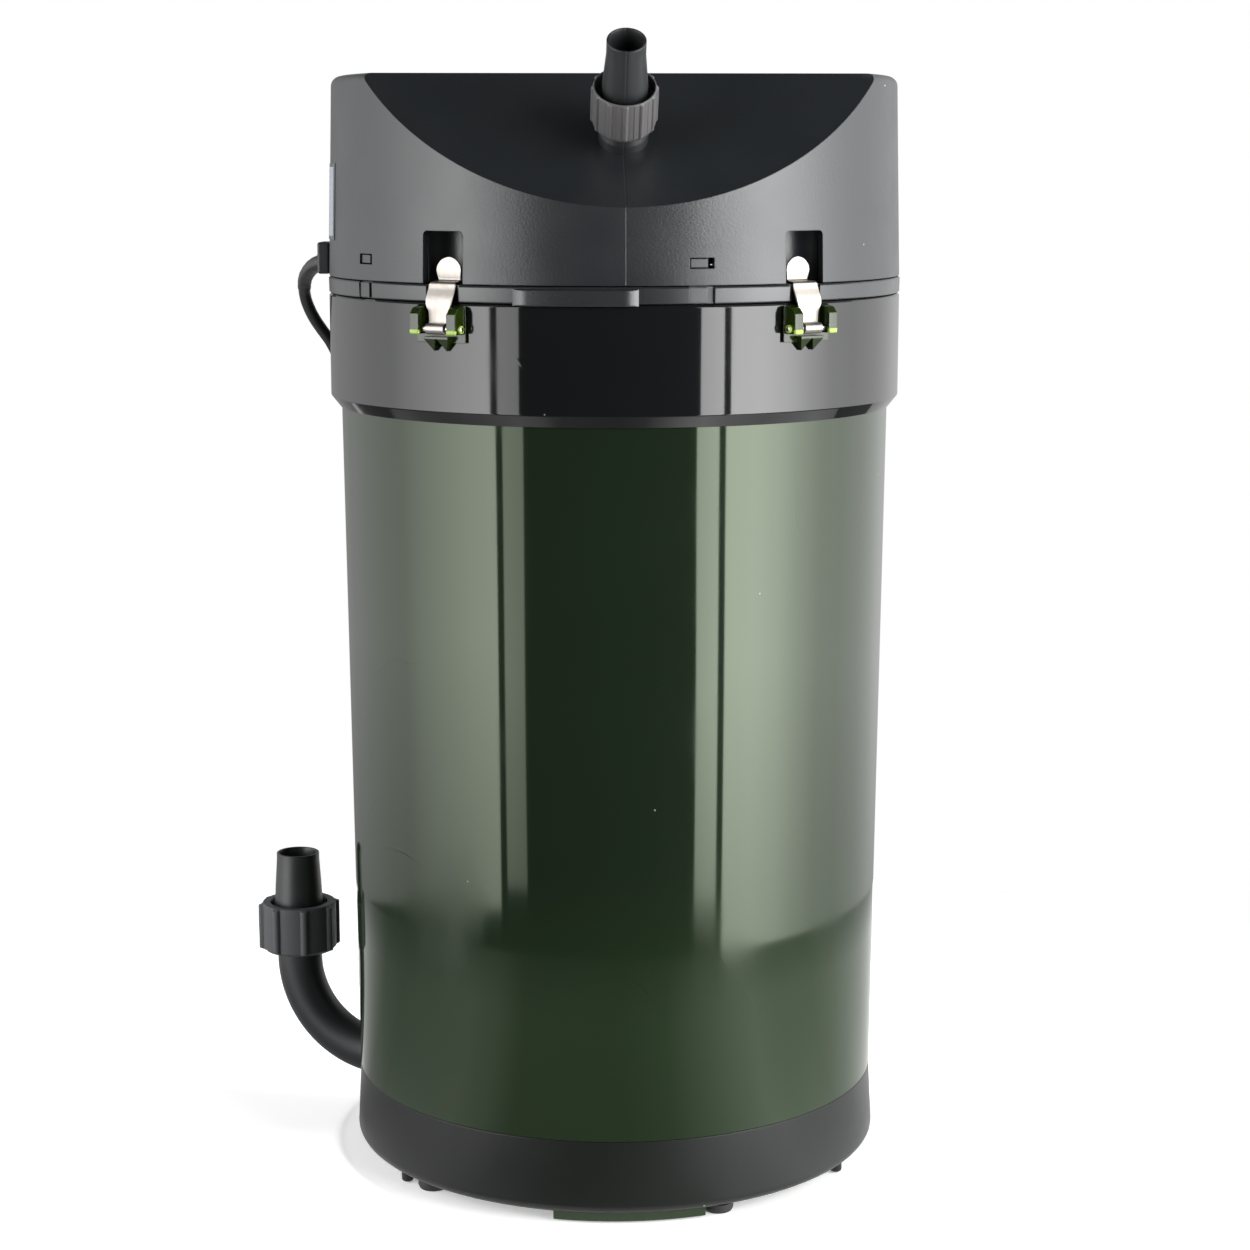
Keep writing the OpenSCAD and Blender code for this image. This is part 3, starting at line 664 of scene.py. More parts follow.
def label_film(name):
    """A blank pale label with a dark frame. Nothing is printed on it."""
    material, tree, shader, place = start_material(name)
    tone = tint(tree, noise(tree, place, 60, 3), (0.30, 0.34, 0.39), 0.04)
    sheen = levels(tree, noise(tree, place, 200, 2), 0.3, 0.7, 0.28, 0.36)
    connect(tree, shader, {"Base Color": tone, "Roughness": sheen})
    bumped(tree, shader, [(noise(tree, place, 900, 2), 0.08, 0.0001)])
    return material

# ---- Tank ----


def standing_sector(outline, azimuth, angle, segments=24, shape=None):
    """A piece of a ring about the middle of an azimuth. Millimetres."""
    return lathe(outline, segments, azimuth - angle / 2 - 90, angle, shape)


def rod(radius, low, high, soft=0.3):
    """A round rod along Z with softened ends."""
    outline = fillet([(0, low), (radius, low), (radius, high), (0, high)], {1: soft, 2: soft}, 3)
    return lathe(outline, 40)


def port_hole(radius):
    """The hole through the wall for the inlet elbow, in metres."""
    outline = [(0, 70), (radius, 70), (radius, 112), (0, 112)]
    lie = shifted(0, 0, PORT_Z) @ turned(90, "Y")
    return metres(lathe(outline, 64), facing(PORT_AZIMUTH) @ lie)


def make_tank(material):
    wall = fillet([
        (0, 3.5), (88.65, 3.5), (93.35, 9.5), (93.35, BAND_TOP), (TANK_BASE_R, BAND_TOP),
        (TANK_TOP_R, COLLAR_LOW), (TANK_TOP_R, 316.7), (95.7, 316.7), (95.7, COLLAR_LOW),
        (92.9, 35.5), (90.35, 28.5), (90.35, 9.5), (86.35, 7), (0, 7),
    ], {4: 0.3, 6: 0.5, 7: 0.5, 9: 2, 12: 2})
    shell = put("tank_shell", metres(lathe(wall, ROUND)))
    cut(shell, port_hole(10.4))
    finish_piece(shell, "tank_green", material, "tank")
    foot = fillet([(79, 0.5), (93.8, 0.5), (93.8, 4.8), (79, 4.8)], {0: 0.5, 1: 0.9})
    add_piece("tank_front_foot", standing_sector(foot, 1, 33, 48), "tank_green", material)


def make_collar(material):
    outline = fillet([
        (98.75, COLLAR_LOW), (99.3, COLLAR_LOW), (CANISTER_R, 281.5), (CANISTER_R, 316.9),
        (101.8, 317.7), (96.7, 317.7), (96.7, 317), (98.75, 317),
    ], {1: 0.3, 2: 1.0, 3: 0.5, 4: 0.3})
    add_piece("collar", lathe(outline, ROUND), "collar_black", material, "tank_collar", smooth=50)


def make_band(material):
    outline = fillet([
        (93.4, 30.42), (TANK_BASE_R, 30.42), (97.3, 4.1), (88.8, 4.1), (93.4, 9.5),
    ], {1: 0.25, 2: 3.4}, 10)
    band = put("base_skirt", metres(lathe(outline, ROUND)))
    cut(band, port_hole(9.5))
    finish_piece(band, "band_grey", material, "base_band")
    stub = fillet([(0, 0.3), (2.2, 0.3), (2.2, 7), (0, 7)], {1: 1.2})
    stubs = [moved(lathe(stub, 32), facing(a) @ shifted(STUB_ORBIT)) for a in STUB_AZIMUTHS]
    add_piece("skirt_stubs", merge(stubs), "band_grey", material)


def make_feet(material):
    outline = fillet([(0, 0), (4.9, 0), (5.5, 1.4), (5.5, 3.4), (0, 3.4)], {1: 0.8, 2: 0.5, 3: 0.3})
    feet = [moved(lathe(outline, 48), facing(a) @ shifted(FOOT_ORBIT)) for a in FOOT_AZIMUTHS]
    add_piece("foot_pads", merge(feet), "foot_rubber", material, "rubber_feet")


# ---- Head ----

OUTWARD = Matrix(((0, 0, 1, 0), (1, 0, 0, 0), (0, 1, 0, 0), (0, 0, 0, 1)))


def wall_opening(azimuth, width, low, high, corner, near=88.0):
    """A cutter for an opening in the wall, with round upper corners, in metres."""
    half = width / 2
    outline = fillet([(-half, low), (half, low), (half, high), (-half, high)], {2: corner, 3: corner}, 4)
    return metres(prism(outline, near, 112), facing(azimuth) @ OUTWARD)


def head_solid(inset):
    """The head above the seam, cut by its sloped face. Millimetres."""
    low = COVER_LOW - (2 if inset else 0)
    outline = fillet([
        (0, low), (COVER_LOW_R - inset, low), (COVER_HIGH_R - inset, TOP - inset), (0, TOP - inset),
    ], {1: 0.25, 2: COVER_EDGE - inset / 2}, 10)
    bm = lathe(outline, ROUND)
    bmesh.ops.remove_doubles(bm, verts=bm.verts, dist=1e-4)
    normal = Vector((0, -math.sin(SLOPE), math.cos(SLOPE)))
    point = Vector((0, *SLOPE_FOOT)) - normal * inset
    everything = bm.verts[:] + bm.edges[:] + bm.faces[:]
    bmesh.ops.bisect_plane(bm, geom=everything, dist=1e-5, plane_co=point, plane_no=normal, clear_outer=True)
    rim = [e for e in bm.edges if len(e.link_faces) == 1]
    bmesh.ops.holes_fill(bm, edges=rim, sides=0)
    return bm


def make_cover(material):
    cover = put("head_shell", metres(head_solid(0)), steady=False)
    cut(cover, metres(head_solid(COVER_WALL)), steady=False)
    openings = [wall_opening(a, 16.5, 322, 341.2, 1.6) for a in CLIP_AZIMUTHS.values()]
    openings += [wall_opening(a, 8.4, 329.4, 332.9, 0.3) for a in SNAP_AZIMUTHS]
    openings.append(wall_opening(GROMMET_AZIMUTH, 8.6, 322, 334.6, 0.4))
    hole = [(0, -14), (8.3, -14), (8.3, 12), (0, 12)]
    openings.append(metres(lathe(hole, 72), on_outlet()))
    for opening in openings:
        cut(cover, opening, steady=False)
    finish_piece(cover, "head_grey", material, "head_cover")


def make_pockets(material):
    """A round finger pocket behind each clip window."""
    outline = [(8.35, 324.3), (9.1, 324.3), (9.1, 342.8), (0, 342.8), (0, 341.8), (8.35, 341.8)]
    pockets = []
    for azimuth in CLIP_AZIMUTHS.values():
        pockets.append(moved(lathe(outline, 40, 90, 180), facing(azimuth) @ shifted(POCKET_ORBIT)))
    add_piece("finger_pockets", merge(pockets), "head_grey", material)


def pad_shape(r, z, angle):
    """Lets the raised pad of the flange fade into it at both ends."""
    flange_r = 102.7
    from_middle = abs(math.degrees(angle) + 90 - PAD_AZIMUTH)
    reach = min(1.0, max(0.0, (PAD_ANGLE / 2 - from_middle) / 3.0))
    return r if r < 103 else flange_r + (r - flange_r) * reach * (2 - reach)


def make_flange(material):
    body = fillet([
        (11.2, 301), (91.5, 301), (91.5, FLANGE_LOW), (102.5, FLANGE_LOW), (102.6, 323), (102, SEAM),
        (87.5, SEAM), (87.5, 304), (13.2, 304), (13.2, 348), (0, 348), (0, 346), (11.2, 346),
    ], {1: 1, 3: 0.5, 4: 0.4, 7: 1})
    flange = put("head_flange", metres(lathe(body, ROUND)), steady=False)
    for azimuth in SNAP_AZIMUTHS:
        cut(flange, wall_opening(azimuth, 8.8, 317, 325, 0, 101.3), steady=False)
    for azimuth in CLIP_AZIMUTHS.values():
        cut(flange, wall_opening(azimuth, 13.4, 317, 325, 0, 101.6), steady=False)
    finish_piece(flange, "flange_grey", material, "head_base")
    pad = fillet([
        (100.5, 318.2), (102.8, 317.3), (104.2, 317.3), (104.2, 322.6), (102.8, 322.9), (100.5, 322.9),
    ], {1: 0.2, 2: 0.6, 3: 0.6})
    parts = [standing_sector(pad, PAD_AZIMUTH, PAD_ANGLE, 120, pad_shape)]
    parts.append(lathe([(27.5, 287), (30, 287), (30, 301.2), (27.5, 301.2)], 96))
    for azimuth in SNAP_AZIMUTHS:
        for low, high in (((97.3, -3.8, 322), (99.1, 3.8, 334.1)),
                          ((98.3, -3.9, 329.7), (101.6, 2.1, 332.6)),
                          ((100.6, -4.4, 318.2), (102.1, 1.9, 323.3))):
            parts.append(moved(block(low, high, 0.25, 2), facing(azimuth)))
    for side in (-1, 1):
        parts.append(moved(rod(4, 303.5, 312.7), shifted(side * 18, 55)))
    add_piece("flange_trim", merge(parts), "flange_grey", material)


def cover_r(z):
    return COVER_LOW_R - (COVER_LOW_R - COVER_HIGH_R) * (z - COVER_LOW) / (TOP - COVER_EDGE - COVER_LOW)


def label_sheet(low, high, angle, lift):
    outline = [(cover_r(low) + 0.04, low), (cover_r(low) + lift, low),
               (cover_r(high) + lift, high), (cover_r(high) + 0.04, high)]
    return standing_sector(outline, LABEL_AZIMUTH, angle)


def make_label(film, frame_tone):
    border = label_sheet(336.7, 363.2, 23.6, 0.28)
    field = label_sheet(338, 361.9, 21, 0.31)
    add_piece("label_border", border, "label_film", frame_tone, "rating_label")
    add_piece("label_field", field, "label_film", film)


# ---- Clips ----


def strip_path():
    """The bent strip, as (radius, height, half width): curl, strip, hook and thumb piece."""
    mid = 1.45
    path = []
    for k in range(15):
        angle = math.radians(95 - 275 * k / 14)
        path.append((PIN_ORBIT + mid * math.cos(angle), PIN_Z + mid * math.sin(angle), 3.8))
    inner = PIN_ORBIT - mid
    bow = [(2, 0, 4.1), (4, 0.1, 4.1), (5.4, 0.2, 4.15), (6.2, 0.3, 4.4), (7.2, 0.35, 4.95), (8, 0.35, 5.2),
           (9.4, 0.1, 5.4), (11, -0.6, 5.45), (12.4, -1.3, 5.45), (13.6, -1.8, 5.4)]
    for height, out, half in bow:
        path.append((inner + out, PIN_Z + height, half))
    path += [(102.1, 323.6, 5.35), (101.9, 324.0, 5.2), (101.5, 324.25, 5), (100.8, 324.3, 4.8)]
    path += [(99.7, 324.3, 4.6), (98.9, 324.4, 4.5), (98.2, 324.75, 4.5), (97.95, 325.3, 4.55)]
    foot = 325.3
    tip = 332.6
    for k in range(1, 19):
        height = foot + (tip - foot) * math.sin(math.pi / 2 * k / 18)
        from_tip = tip - height
        grow = 4.55 + 0.6 * min(1, (height - foot) / 3)
        half = grow if from_tip > 4.6 else grow * math.sqrt(max(0.02, 1 - (1 - from_tip / 4.6) ** 2))
        sweep = math.sin(math.pi / 2 * min(1.0, (height - foot) / 3.5))
        path.append((97.95 + 0.6 * sweep - 0.05 * (height - foot), height, half))
    return path


def make_clip(name, azimuth, material):
    path = strip_path()
    thick = 0.4
    soft = 0.14
    last = len(path) - 1
    sections = []
    for i, (r, z, half) in enumerate(path):
        before = path[max(i - 1, 0)]
        after = path[min(i + 1, last)]
        ahead = Vector((after[0] - before[0], after[1] - before[1])).normalized()
        out = Vector((ahead.y, -ahead.x))
        outline = [(half, -thick + soft), (half, thick - soft)]
        outline += [(half - soft, thick), (soft - half, thick)]
        outline += [(-half, thick - soft), (-half, -thick + soft)]
        outline += [(soft - half, -thick), (half - soft, -thick)]
        sections.append([(r + out.x * h, t, z + out.y * h) for t, h in outline])
    add_piece("strip_" + name, loft(sections), "clip_steel", material, "clip_" + name,
              place=facing(azimuth), body="clip_" + name + "_body", smooth=50)


def lug_parts():
    """One clip lug facing +X: back plate, two cheeks, teeth and the bar under the curl."""
    parts = [block((102.56, -10, 304.7), (103.25, 10, 317), 0.2, 2)]
    cheek = [(102.6, 307.6), (107.4, 307.6), (108.1, 308.3), (108.1, 314.2), (106.4, 316.2), (102.6, 317)]
    upright = Matrix(((1, 0, 0, 0), (0, 0, 1, 0), (0, 1, 0, 0), (0, 0, 0, 1)))
    for side in (-1, 1):
        ends = sorted((side * 5.7, side * 9.4))
        parts.append(moved(prism(cheek, *ends, bevel=0.3), upright))
        tooth = [(side * 2.6 - 2.3, PIN_Z - 3.4), (side * 2.6 + 2.3, PIN_Z - 3.4), (side * 2.6, PIN_Z - 7.4)]
        spike = prism(tooth, 102.6, 106.2)
        for v in spike.verts:
            if v.co.y < PIN_Z - 7 and v.co.z > 103.6:
                v.co.z = 103.6
        parts.append(moved(spike, OUTWARD))
    parts.append(block((103.3, -4.9, PIN_Z - 3.5), (106.3, 4.9, PIN_Z - 2.5), 0.25, 2))
    return parts


def lug_highlight_parts():
    """Painted highlights: a bright lime copy of the lug plastic on the cheeks' lower edges and the pin
    sleeves.
    """
    parts = []
    for side in (-1, 1):
        ends = sorted((side * 5.65, side * 9.45))
        parts.append(block((106.9, ends[0], 307.5), (108.3, ends[1], 309.3), 0.55, 3))
        parts.append(moved(rod(1.35, 9.3, 10.4), shifted(PIN_ORBIT, 0, PIN_Z) @ turned(-90 * side, "X")))
    return parts


def at_clips(make_parts):
    """The same parts at each of the four clips."""
    whole = []
    for azimuth in CLIP_AZIMUTHS.values():
        whole += [moved(part, facing(azimuth)) for part in make_parts()]
    return merge(whole)


def make_lugs(dark_lime, painted_light_lime):
    add_piece("lug_set", at_clips(lug_parts), "lug_green", dark_lime, "clip_lugs")
    # Painted highlight: the lit edges of the lugs get a bright copy of the lug's plastic.
    add_piece("lug_painted_highlights", at_clips(lug_highlight_parts), "lug_green", painted_light_lime)


def pin_parts():
    place = shifted(PIN_ORBIT, 0, PIN_Z) @ turned(90, "X")
    return [moved(rod(PIN_R, -10.5, 10.5), place)]


def make_pins(material):
    add_piece("pin_set", at_clips(pin_parts), "pin_steel", material, "clip_pins")


# ---- Outlet and inlet ----


def ribbed(count, depth, width, low, high, lean=0.0, phase=0.0):
    """A radius change for a nut: one rounded rib in each sector, between two heights. The wall
    between the ribs may fall away by a lean, as on a ratchet. The phase is in degrees."""
    def shape(r, z, angle):
        if r < RIB_ROOT or not low <= z <= high:
            return r
        pitch = 2 * math.pi / count
        turn = angle - math.radians(phase)
        away = abs((turn + pitch / 2) % pitch - pitch / 2) * r
        rib = depth * math.sqrt(max(0.0, 1 - (away / width) ** 2)) if away < width else 0.0
        return r + rib - lean * ((turn + pitch / 2) % pitch) / pitch
    return shape


def make_outlet(nozzle_tone, nut_tone, rubber_tone):
    neck = fillet([
        (5.2, -0.3), (7.5, -9), (8.3, -9), (8.3, 3.0), (7.8, 5.2), (7.5, 5.3), (7.5, 12.6), (5.2, 12.6),
    ], {3: 1.2, 4: 0.3})
    duct = [(5.2, -88), (7.5, -88), (7.5, -0.2), (5.2, -0.2)]
    lean = shifted(*OUTLET_FOOT) @ Matrix.Rotation(DUCT_LEAN, 4, "X")
    inner = put("outlet_duct_low", metres(lathe(duct, 72), lean))
    cut(inner, metres(block((-40, -130, 200), (40, 60, 301.05), 0)))
    finish_piece(inner, "nozzle_black", nozzle_tone)
    add_piece("outlet_neck", lathe(neck, 96), "nozzle_black", nozzle_tone, "outlet_duct",
              place=on_outlet())
    washer = fillet([(5.4, 12.65), (7.4, 12.65), (7.4, 13.45), (5.4, 13.45)], {1: 0.3, 2: 0.3}, 3)
    add_piece("outlet_ring", lathe(washer, 72), "seal_rubber", rubber_tone, "outlet_washer",
              place=on_outlet())
    spigot = fillet([
        (4.9, 13.5), (8.8, 13.5), (8.8, 15.9), (7.6, 15.9), (7.55, 22), (6.45, 34.7), (6.45, 40.1),
        (5.75, 40.1), (4.9, 37),
    ], {1: 0.3, 3: 0.6, 6: 0.3, 7: 0.3})
    add_piece("outlet_spigot", lathe(spigot, 96), "nozzle_black", nozzle_tone, "outlet_nozzle",
              place=on_outlet())
    nut = fillet([
        (7.8, 6.25), (9.7, 6.25), (10.55, 7.9), (10.55, 7.95), (10.55, 21), (10.3, 21.6), (9.75, 21.6),
        (9.75, 16.9), (7.9, 16.9), (7.9, 16.2), (9.1, 16.2), (9.1, 8.2), (7.8, 8.2),
    ], {1: 0.3, 5: 0.2, 6: 0.2})
    shape = ribbed(12, 0.62, 0.75, 7.8, 21.1, lean=0.15)
    ring = lathe(nut, 480, shape=shape)
    add_piece("outlet_collar_nut", ring, "outlet_nut_grey", nut_tone, "outlet_union_nut",
              place=on_outlet(), body="outlet_nut", smooth=40)


def elbow_route(steps=28):
    path = [Vector((80, 0, PORT_Z)), Vector((88, 0, PORT_Z))]
    centre = Vector((96, 0, PORT_Z + ELBOW_BEND))
    for k in range(steps + 1):
        angle = math.radians(90 * k / steps)
        path.append(centre + ELBOW_BEND * Vector((math.sin(angle), 0, -math.cos(angle))))
    path.append(Vector((NOZZLE_ORBIT, 0, PORT_Z + 46)))
    path.append(Vector((NOZZLE_ORBIT, 0, PORT_Z + 52)))
    return path


def pipe_wall(path, outer, inner):
    """A pipe with a bore along a path."""
    sides_at = frames(path)
    order = [(i, outer) for i in range(len(path))] + [(i, inner) for i in reversed(range(len(path)))]
    return loft([hoop(path[i], radius, sides_at[i], 64) for i, radius in order], closed=True)


def make_inlet(elbow_tone, nozzle_tone, nut_tone):
    add_piece("inlet_bend", pipe_wall(elbow_route(), 8.6, 6.4), "elbow_black", elbow_tone, "inlet_elbow",
              place=facing(PORT_AZIMUTH), body="inlet_arm")
    thread = [(8.55, 43.4), (10.1, 43.4), (10.1, 51.9), (8.55, 51.9)]
    add_piece("inlet_thread", lathe(thread, 96), "elbow_black", elbow_tone,
              place=on_inlet(), body="inlet_arm")
    spigot = fillet([
        (6.4, 53.1), (11.6, 53.1), (11.6, 54.4), (9.5, 54.4), (9.45, 57.2), (8.25, 75.4), (8.25, 77.8),
        (7.4, 77.8), (6.4, 74),
    ], {1: 0.3, 3: 0.8, 6: 0.4, 7: 0.3})
    add_piece("inlet_spigot", lathe(spigot, 112), "nozzle_black", nozzle_tone, "inlet_nozzle",
              place=on_inlet(), body="inlet_arm")
    nut = fillet([
        (8.95, 38.9), (13.2, 38.9), (14.45, 40.2), (14.45, 57.2), (14, 58), (11.3, 58), (11, 57.6),
        (11, 55.6), (10, 55.5), (10, 54.9), (12.2, 54.9), (12.2, 41.4), (8.95, 41.4),
    ], {1: 0.4, 2: 0.3, 3: 0.3, 4: 0.3, 5: 0.2})
    shape = ribbed(8, 1.45, 1.5, 40, 57.4, phase=INLET_RIB)
    ring = lathe(nut, 480, shape=shape)
    add_piece("inlet_collar_nut", ring, "inlet_nut_grey", nut_tone, "inlet_union_nut",
              place=on_inlet(), body="inlet_nut", smooth=40)


# ---- Cord ----


def coil_turns():
    """Seven turns in a block two wide and four high. Each turn moves on to the place that the
    turn after it has just left, so no two turns meet. Returns the centreline in millimetres."""
    slots = [(1, 0), (0, 0), (0, 1), (1, 1), (1, 2), (0, 2), (0, 3), (1, 3)]
    moves = [60, 40, 60, 40, 60, 40, 60]
    pitch = CORD_D + 0.1
    rise = CORD_D + 0.04
    base = COIL_AT[2] + 0.1 + CORD_D / 2
    legs = []
    physical = 360
    start = 0
    for k, move in enumerate(moves):
        finish = physical
        while finish - move < start:
            finish += 360
        legs.append((start, finish - move, slots[k], slots[k]))
        legs.append((finish - move, finish, slots[k], slots[k + 1]))
        start = finish
        physical -= move
    last = math.ceil(start / 360) * 360
    legs.append((start, last, slots[-1], slots[-1]))
    points = []
    for low, high, slot_a, slot_b in legs:
        count = max(2, round((high - low) / 360 * COIL_STEPS * 1.6))
        for i in range(count):
            share = i / count
            ease = (1 - math.cos(math.pi * share)) / 2
            column = slot_a[0] + (slot_b[0] - slot_a[0]) * ease
            row = slot_a[1] + (slot_b[1] - slot_a[1]) * ease
            angle = math.radians(-90 + low + (high - low) * share)
            radius = COIL_MID_R + (column - 0.5) * pitch
            points.append(Vector((COIL_AT[0] + radius * math.cos(angle),
                                  COIL_AT[1] + radius * math.sin(angle), base + row * rise)))
    return points


def make_cord(material, relief_tone, tie_tone, plug_tone, brass):
    points = [Vector(p) for p in CORD_ROUTE]
    points += coil_turns()
    points += [Vector(p) for p in PLUG_ROUTE]
    data = bpy.data.curves.new("mains_lead", "CURVE")
    data.dimensions = "3D"
    line = data.splines.new("BEZIER")
    line.bezier_points.add(len(points) - 1)
    for knot, point in zip(line.bezier_points, points):
        knot.co = point * MM
        knot.handle_left_type = "AUTO"
        knot.handle_right_type = "AUTO"
    line.resolution_u = 8
    data.bevel_depth = CORD_D / 2 * MM
    data.bevel_resolution = 6
    data.use_fill_caps = True
    lead = new_object("mains_lead", data)
    finish_piece(lead, "cord_black", material, "mains_cord", "cord_coil", "plug_lead")
    sleeve = make_relief(relief_tone)
    tie = make_tie(tie_tone)
    plug, pins = make_plug(plug_tone, brass)


def make_relief(material):
    """A tapered sleeve with shallow rings, along the first 22 mm of the cord."""
    path = smooth_route(CORD_ROUTE, 6)[2:31]
    last = len(path) - 1
    radii = [3.05 - 0.6 * i / last - (0.09 if i % 4 == 2 else 0) for i in range(last + 1)]
    sleeve = sweep_tube(path, radii)
    return add_piece("strain_sleeve", sleeve, "grommet_black", material, "strain_relief", smooth=60)


def make_grommet(material):
    parts = [block((94, -4.2, 324.1), (104, 4.2, 334.4), 0.3, 2),
             block((102.55, -6.2, 323.85), (107, 6.2, 335.2), 0.9, 4),
             block((106.2, -3.4, 324.1), (107.3, 4.6, 331.3), 0.6, 3)]
    add_piece("cord_block", merge(parts), "grommet_black", material, "cord_grommet",
              place=facing(GROMMET_AZIMUTH))


def make_tie(material):
    """A flat strap round one side of the coil."""
    half_w = CORD_D + 0.35
    half_h = 2 * CORD_D + 0.2
    ring = []
    for reach in (0.0, 0.7):
        w = half_w + reach
        h = half_h + reach
        ring.append(fillet([(-w, -h), (w, -h), (w, h), (-w, h)], {i: 1.2 + reach for i in range(4)}, 4))
    loops = []
    for outline, y in ((ring[0], -2), (ring[1], -2), (ring[1], 2), (ring[0], 2)):
        loops.append([(x, y, z) for x, z in outline])
    place = shifted(COIL_AT[0] + COIL_MID_R, COIL_AT[1], COIL_AT[2] + half_h)
    return add_piece("coil_tie", loft(loops, closed=True), "tie_white", material, "cord_tie", place=place)


def make_plug(material, brass):
    """A flat two-pin plug with a waist for the fingers."""
    x0, y0, z0 = PLUG_ROUTE[-1]
    stations = [(0, 3.2, 3.2), (4, 3.6, 3.6), (8, 5.2, 4.4), (13, 9.5, 5.4), (17, 12.5, 5.6), (22, 13.2, 5.3),
                (27, 15.6, 6.2), (31, 17.3, 6.75), (33.2, 17.5, 6.8), (34, 17.1, 6.4)]
    sections = []
    for x, w, h in stations:
        corner = min(w, h) * 0.75
        outline = fillet([(-w, -h), (w, -h), (w, h), (-w, h)], {i: corner for i in range(4)}, 6)
        sections.append([(x0 + x, y0 + y, z0 + z) for y, z in outline])
    body = add_piece("lead_plug", loft(sections), "plug_black", material, "mains_plug", smooth=50)
    parts = []
    for side in (-1, 1):
        place = shifted(x0 + stations[-1][0], y0 + side * 9.3, z0) @ turned(90, "Y")
        parts.append(moved(rod(2, 0, 18.9, 0.9), place))
    pins = add_piece("lead_plug_pins", merge(parts), "plug_brass", brass, "plug_pins")
    return body, pins


# ---- Every material, and the inner parts that keep their CAD shape ----


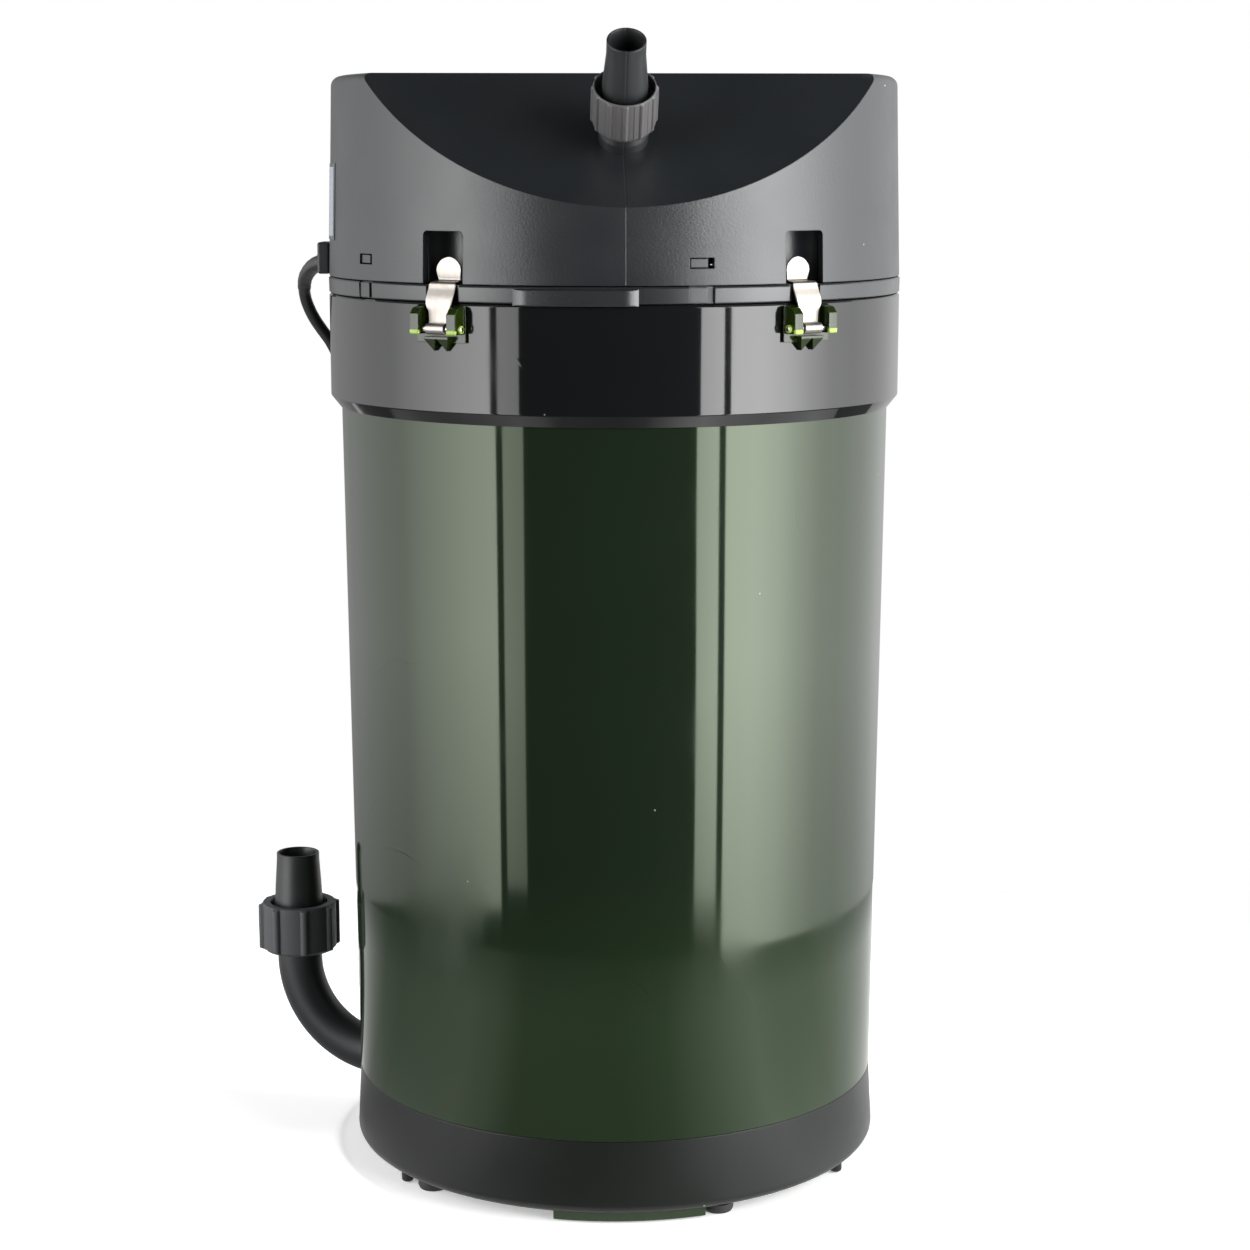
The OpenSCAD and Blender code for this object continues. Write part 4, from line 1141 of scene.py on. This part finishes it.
def make_materials():
    return {
        # The tank's foot colour is painted light from the table, low on the wall.
        "tank": glossy("tank_gloss", (0.0082, 0.0142, 0.0076), 0.055, foot=(0.0105, 0.0205, 0.0085),
                       gloss=0.46, sheen_tone=(0.88, 1.0, 0.78)),
        "collar": glossy("collar_gloss", (0.0055, 0.0058, 0.0062), 0.05, scratch=0.7),
        "band": moulded("band_satin", (0.0085, 0.0100, 0.0088), 0.36, depth=0.10, dust=1.0, gloss=0.3),
        "head": moulded("head_texture", (0.0115, 0.0135, 0.0155), 0.36, 1200, depth=0.5, dust=1.2,
                        gloss=0.62, seam=True),
        "flange": moulded("flange_satin", (0.017, 0.0185, 0.0205), 0.30, dust=1.0, gloss=0.62),
        "neck": moulded("neck_satin", (0.013, 0.014, 0.015), 0.40, depth=0.08, dust=0.8, seam=True),
        "elbow": moulded("elbow_satin", (0.0105, 0.0115, 0.013), 0.45, depth=0.10),
        "outlet_nut": moulded("outlet_nut_satin", (0.088, 0.085, 0.086), 0.42, depth=0.10, dust=0.8),
        "inlet_nut": moulded("inlet_nut_satin", (0.066, 0.068, 0.073), 0.50, depth=0.10, gloss=0.25),
        "lime": clear_lime("lime_clear", (0.014, 0.028, 0.002)),
        # Painted light: a bright lime copy of the lug plastic, for the lugs' lit edges.
        "painted_lime_light": moulded("lime_painted_light", (0.30, 0.44, 0.06), 0.3, depth=0.05, dust=0),
        "steel": metal("clip_nickel", (0.34, 0.315, 0.29), 0.42),
        "pin": metal("pin_wire", (0.72, 0.70, 0.67), 0.25, (0.05, 0.05, 1)),
        "foot": rubber("foot_rubber_black", (0.011, 0.011, 0.011)),
        "seal": rubber("seal_rubber_black", (0.013, 0.013, 0.013), 0.55),
        "cord": rubber("cord_sheath", (0.013, 0.014, 0.015), 0.42, 2500),
        "grommet": rubber("grommet_rubber", (0.011, 0.0115, 0.013), 0.48),
        "tie": moulded("tie_nylon", (0.66, 0.66, 0.62), 0.45, depth=0.05),
        "plug": moulded("plug_shell", (0.014, 0.015, 0.016), 0.45, grain=1500),
        "brass": metal("pin_brass", (0.78, 0.66, 0.38), 0.25, (0.05, 1, 1)),
        "film": label_film("label_pale"),
        "label_border": moulded("label_dark", (0.055, 0.058, 0.062), 0.35, depth=0.05),
        "lattice": moulded("lattice_matt", (0.02, 0.024, 0.02), 0.5),
        "foam": porous("foam_blue", (0.03, 0.12, 0.3), 450, 0.001),
        "ceramic": porous("ceramic_bed", (0.52, 0.42, 0.30), 120, 0.003),
        "floss": porous("floss_white", (0.80, 0.81, 0.78), 900, 0.0006, 0.1),
        "pump": moulded("pump_matt", (0.02, 0.021, 0.022), 0.5),
        "impeller": moulded("impeller_natural", (0.7, 0.7, 0.67), 0.4, dust=0),
        "magnet": moulded("magnet_coat", (0.04, 0.04, 0.044), 0.3),
        "shaft": moulded("shaft_ceramic_white", (0.82, 0.80, 0.76), 0.15, depth=0.03, dust=0),
        "bushing": rubber("bushing_brown", (0.045, 0.028, 0.022)),
        "core": metal("core_sheets", (0.32, 0.33, 0.35), 0.45, (0.03, 0.03, 1), 900),
        "winding": moulded("winding_resin", (0.38, 0.14, 0.045), 0.35, depth=0.3),
        "screw": metal("screw_zinc", (0.6, 0.6, 0.6), 0.3),
    }


def dress_inner_parts(nodes, tone):
    """Gives the CAD nodes that stay as they are their materials."""
    inner = {
        "inlet_port_seal": "seal", "inlet_washer": "seal", "lower_lattice": "lattice", "coarse_pad": "foam",
        "bio_media": "ceramic", "fine_pad": "floss", "upper_lattice": "lattice", "head_seal": "seal",
        "pump_cover": "pump", "impeller": "impeller", "rotor_magnet": "magnet", "rotor_shaft": "shaft",
        "upper_bushing": "bushing", "lower_bushing": "bushing", "stator_core": "core",
        "stator_coils": "winding", "stator_screws": "screw",
    }
    for name, key in inner.items():
        materials = nodes[name].data.materials
        materials.clear()
        materials.append(tone[key])


def main():
    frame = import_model()
    make_camera()
    tone = make_materials()
    make_cord(tone["cord"], tone["grommet"], tone["tie"], tone["plug"], tone["brass"])
    make_grommet(tone["grommet"])
    make_floor()
    make_light()
    make_tank(tone["tank"])
    make_collar(tone["collar"])
    make_band(tone["band"])
    make_feet(tone["foot"])
    make_cover(tone["head"])
    make_pockets(tone["head"])
    make_flange(tone["flange"])
    make_label(tone["film"], tone["label_border"])
    for name, azimuth in CLIP_AZIMUTHS.items():
        make_clip(name, azimuth, tone["steel"])
    make_lugs(tone["lime"], tone["painted_lime_light"])
    make_pins(tone["pin"])
    make_outlet(tone["neck"], tone["outlet_nut"], tone["seal"])
    make_inlet(tone["elbow"], tone["neck"], tone["inlet_nut"])
    dress_inner_parts(frame["nodes"], tone)


main()
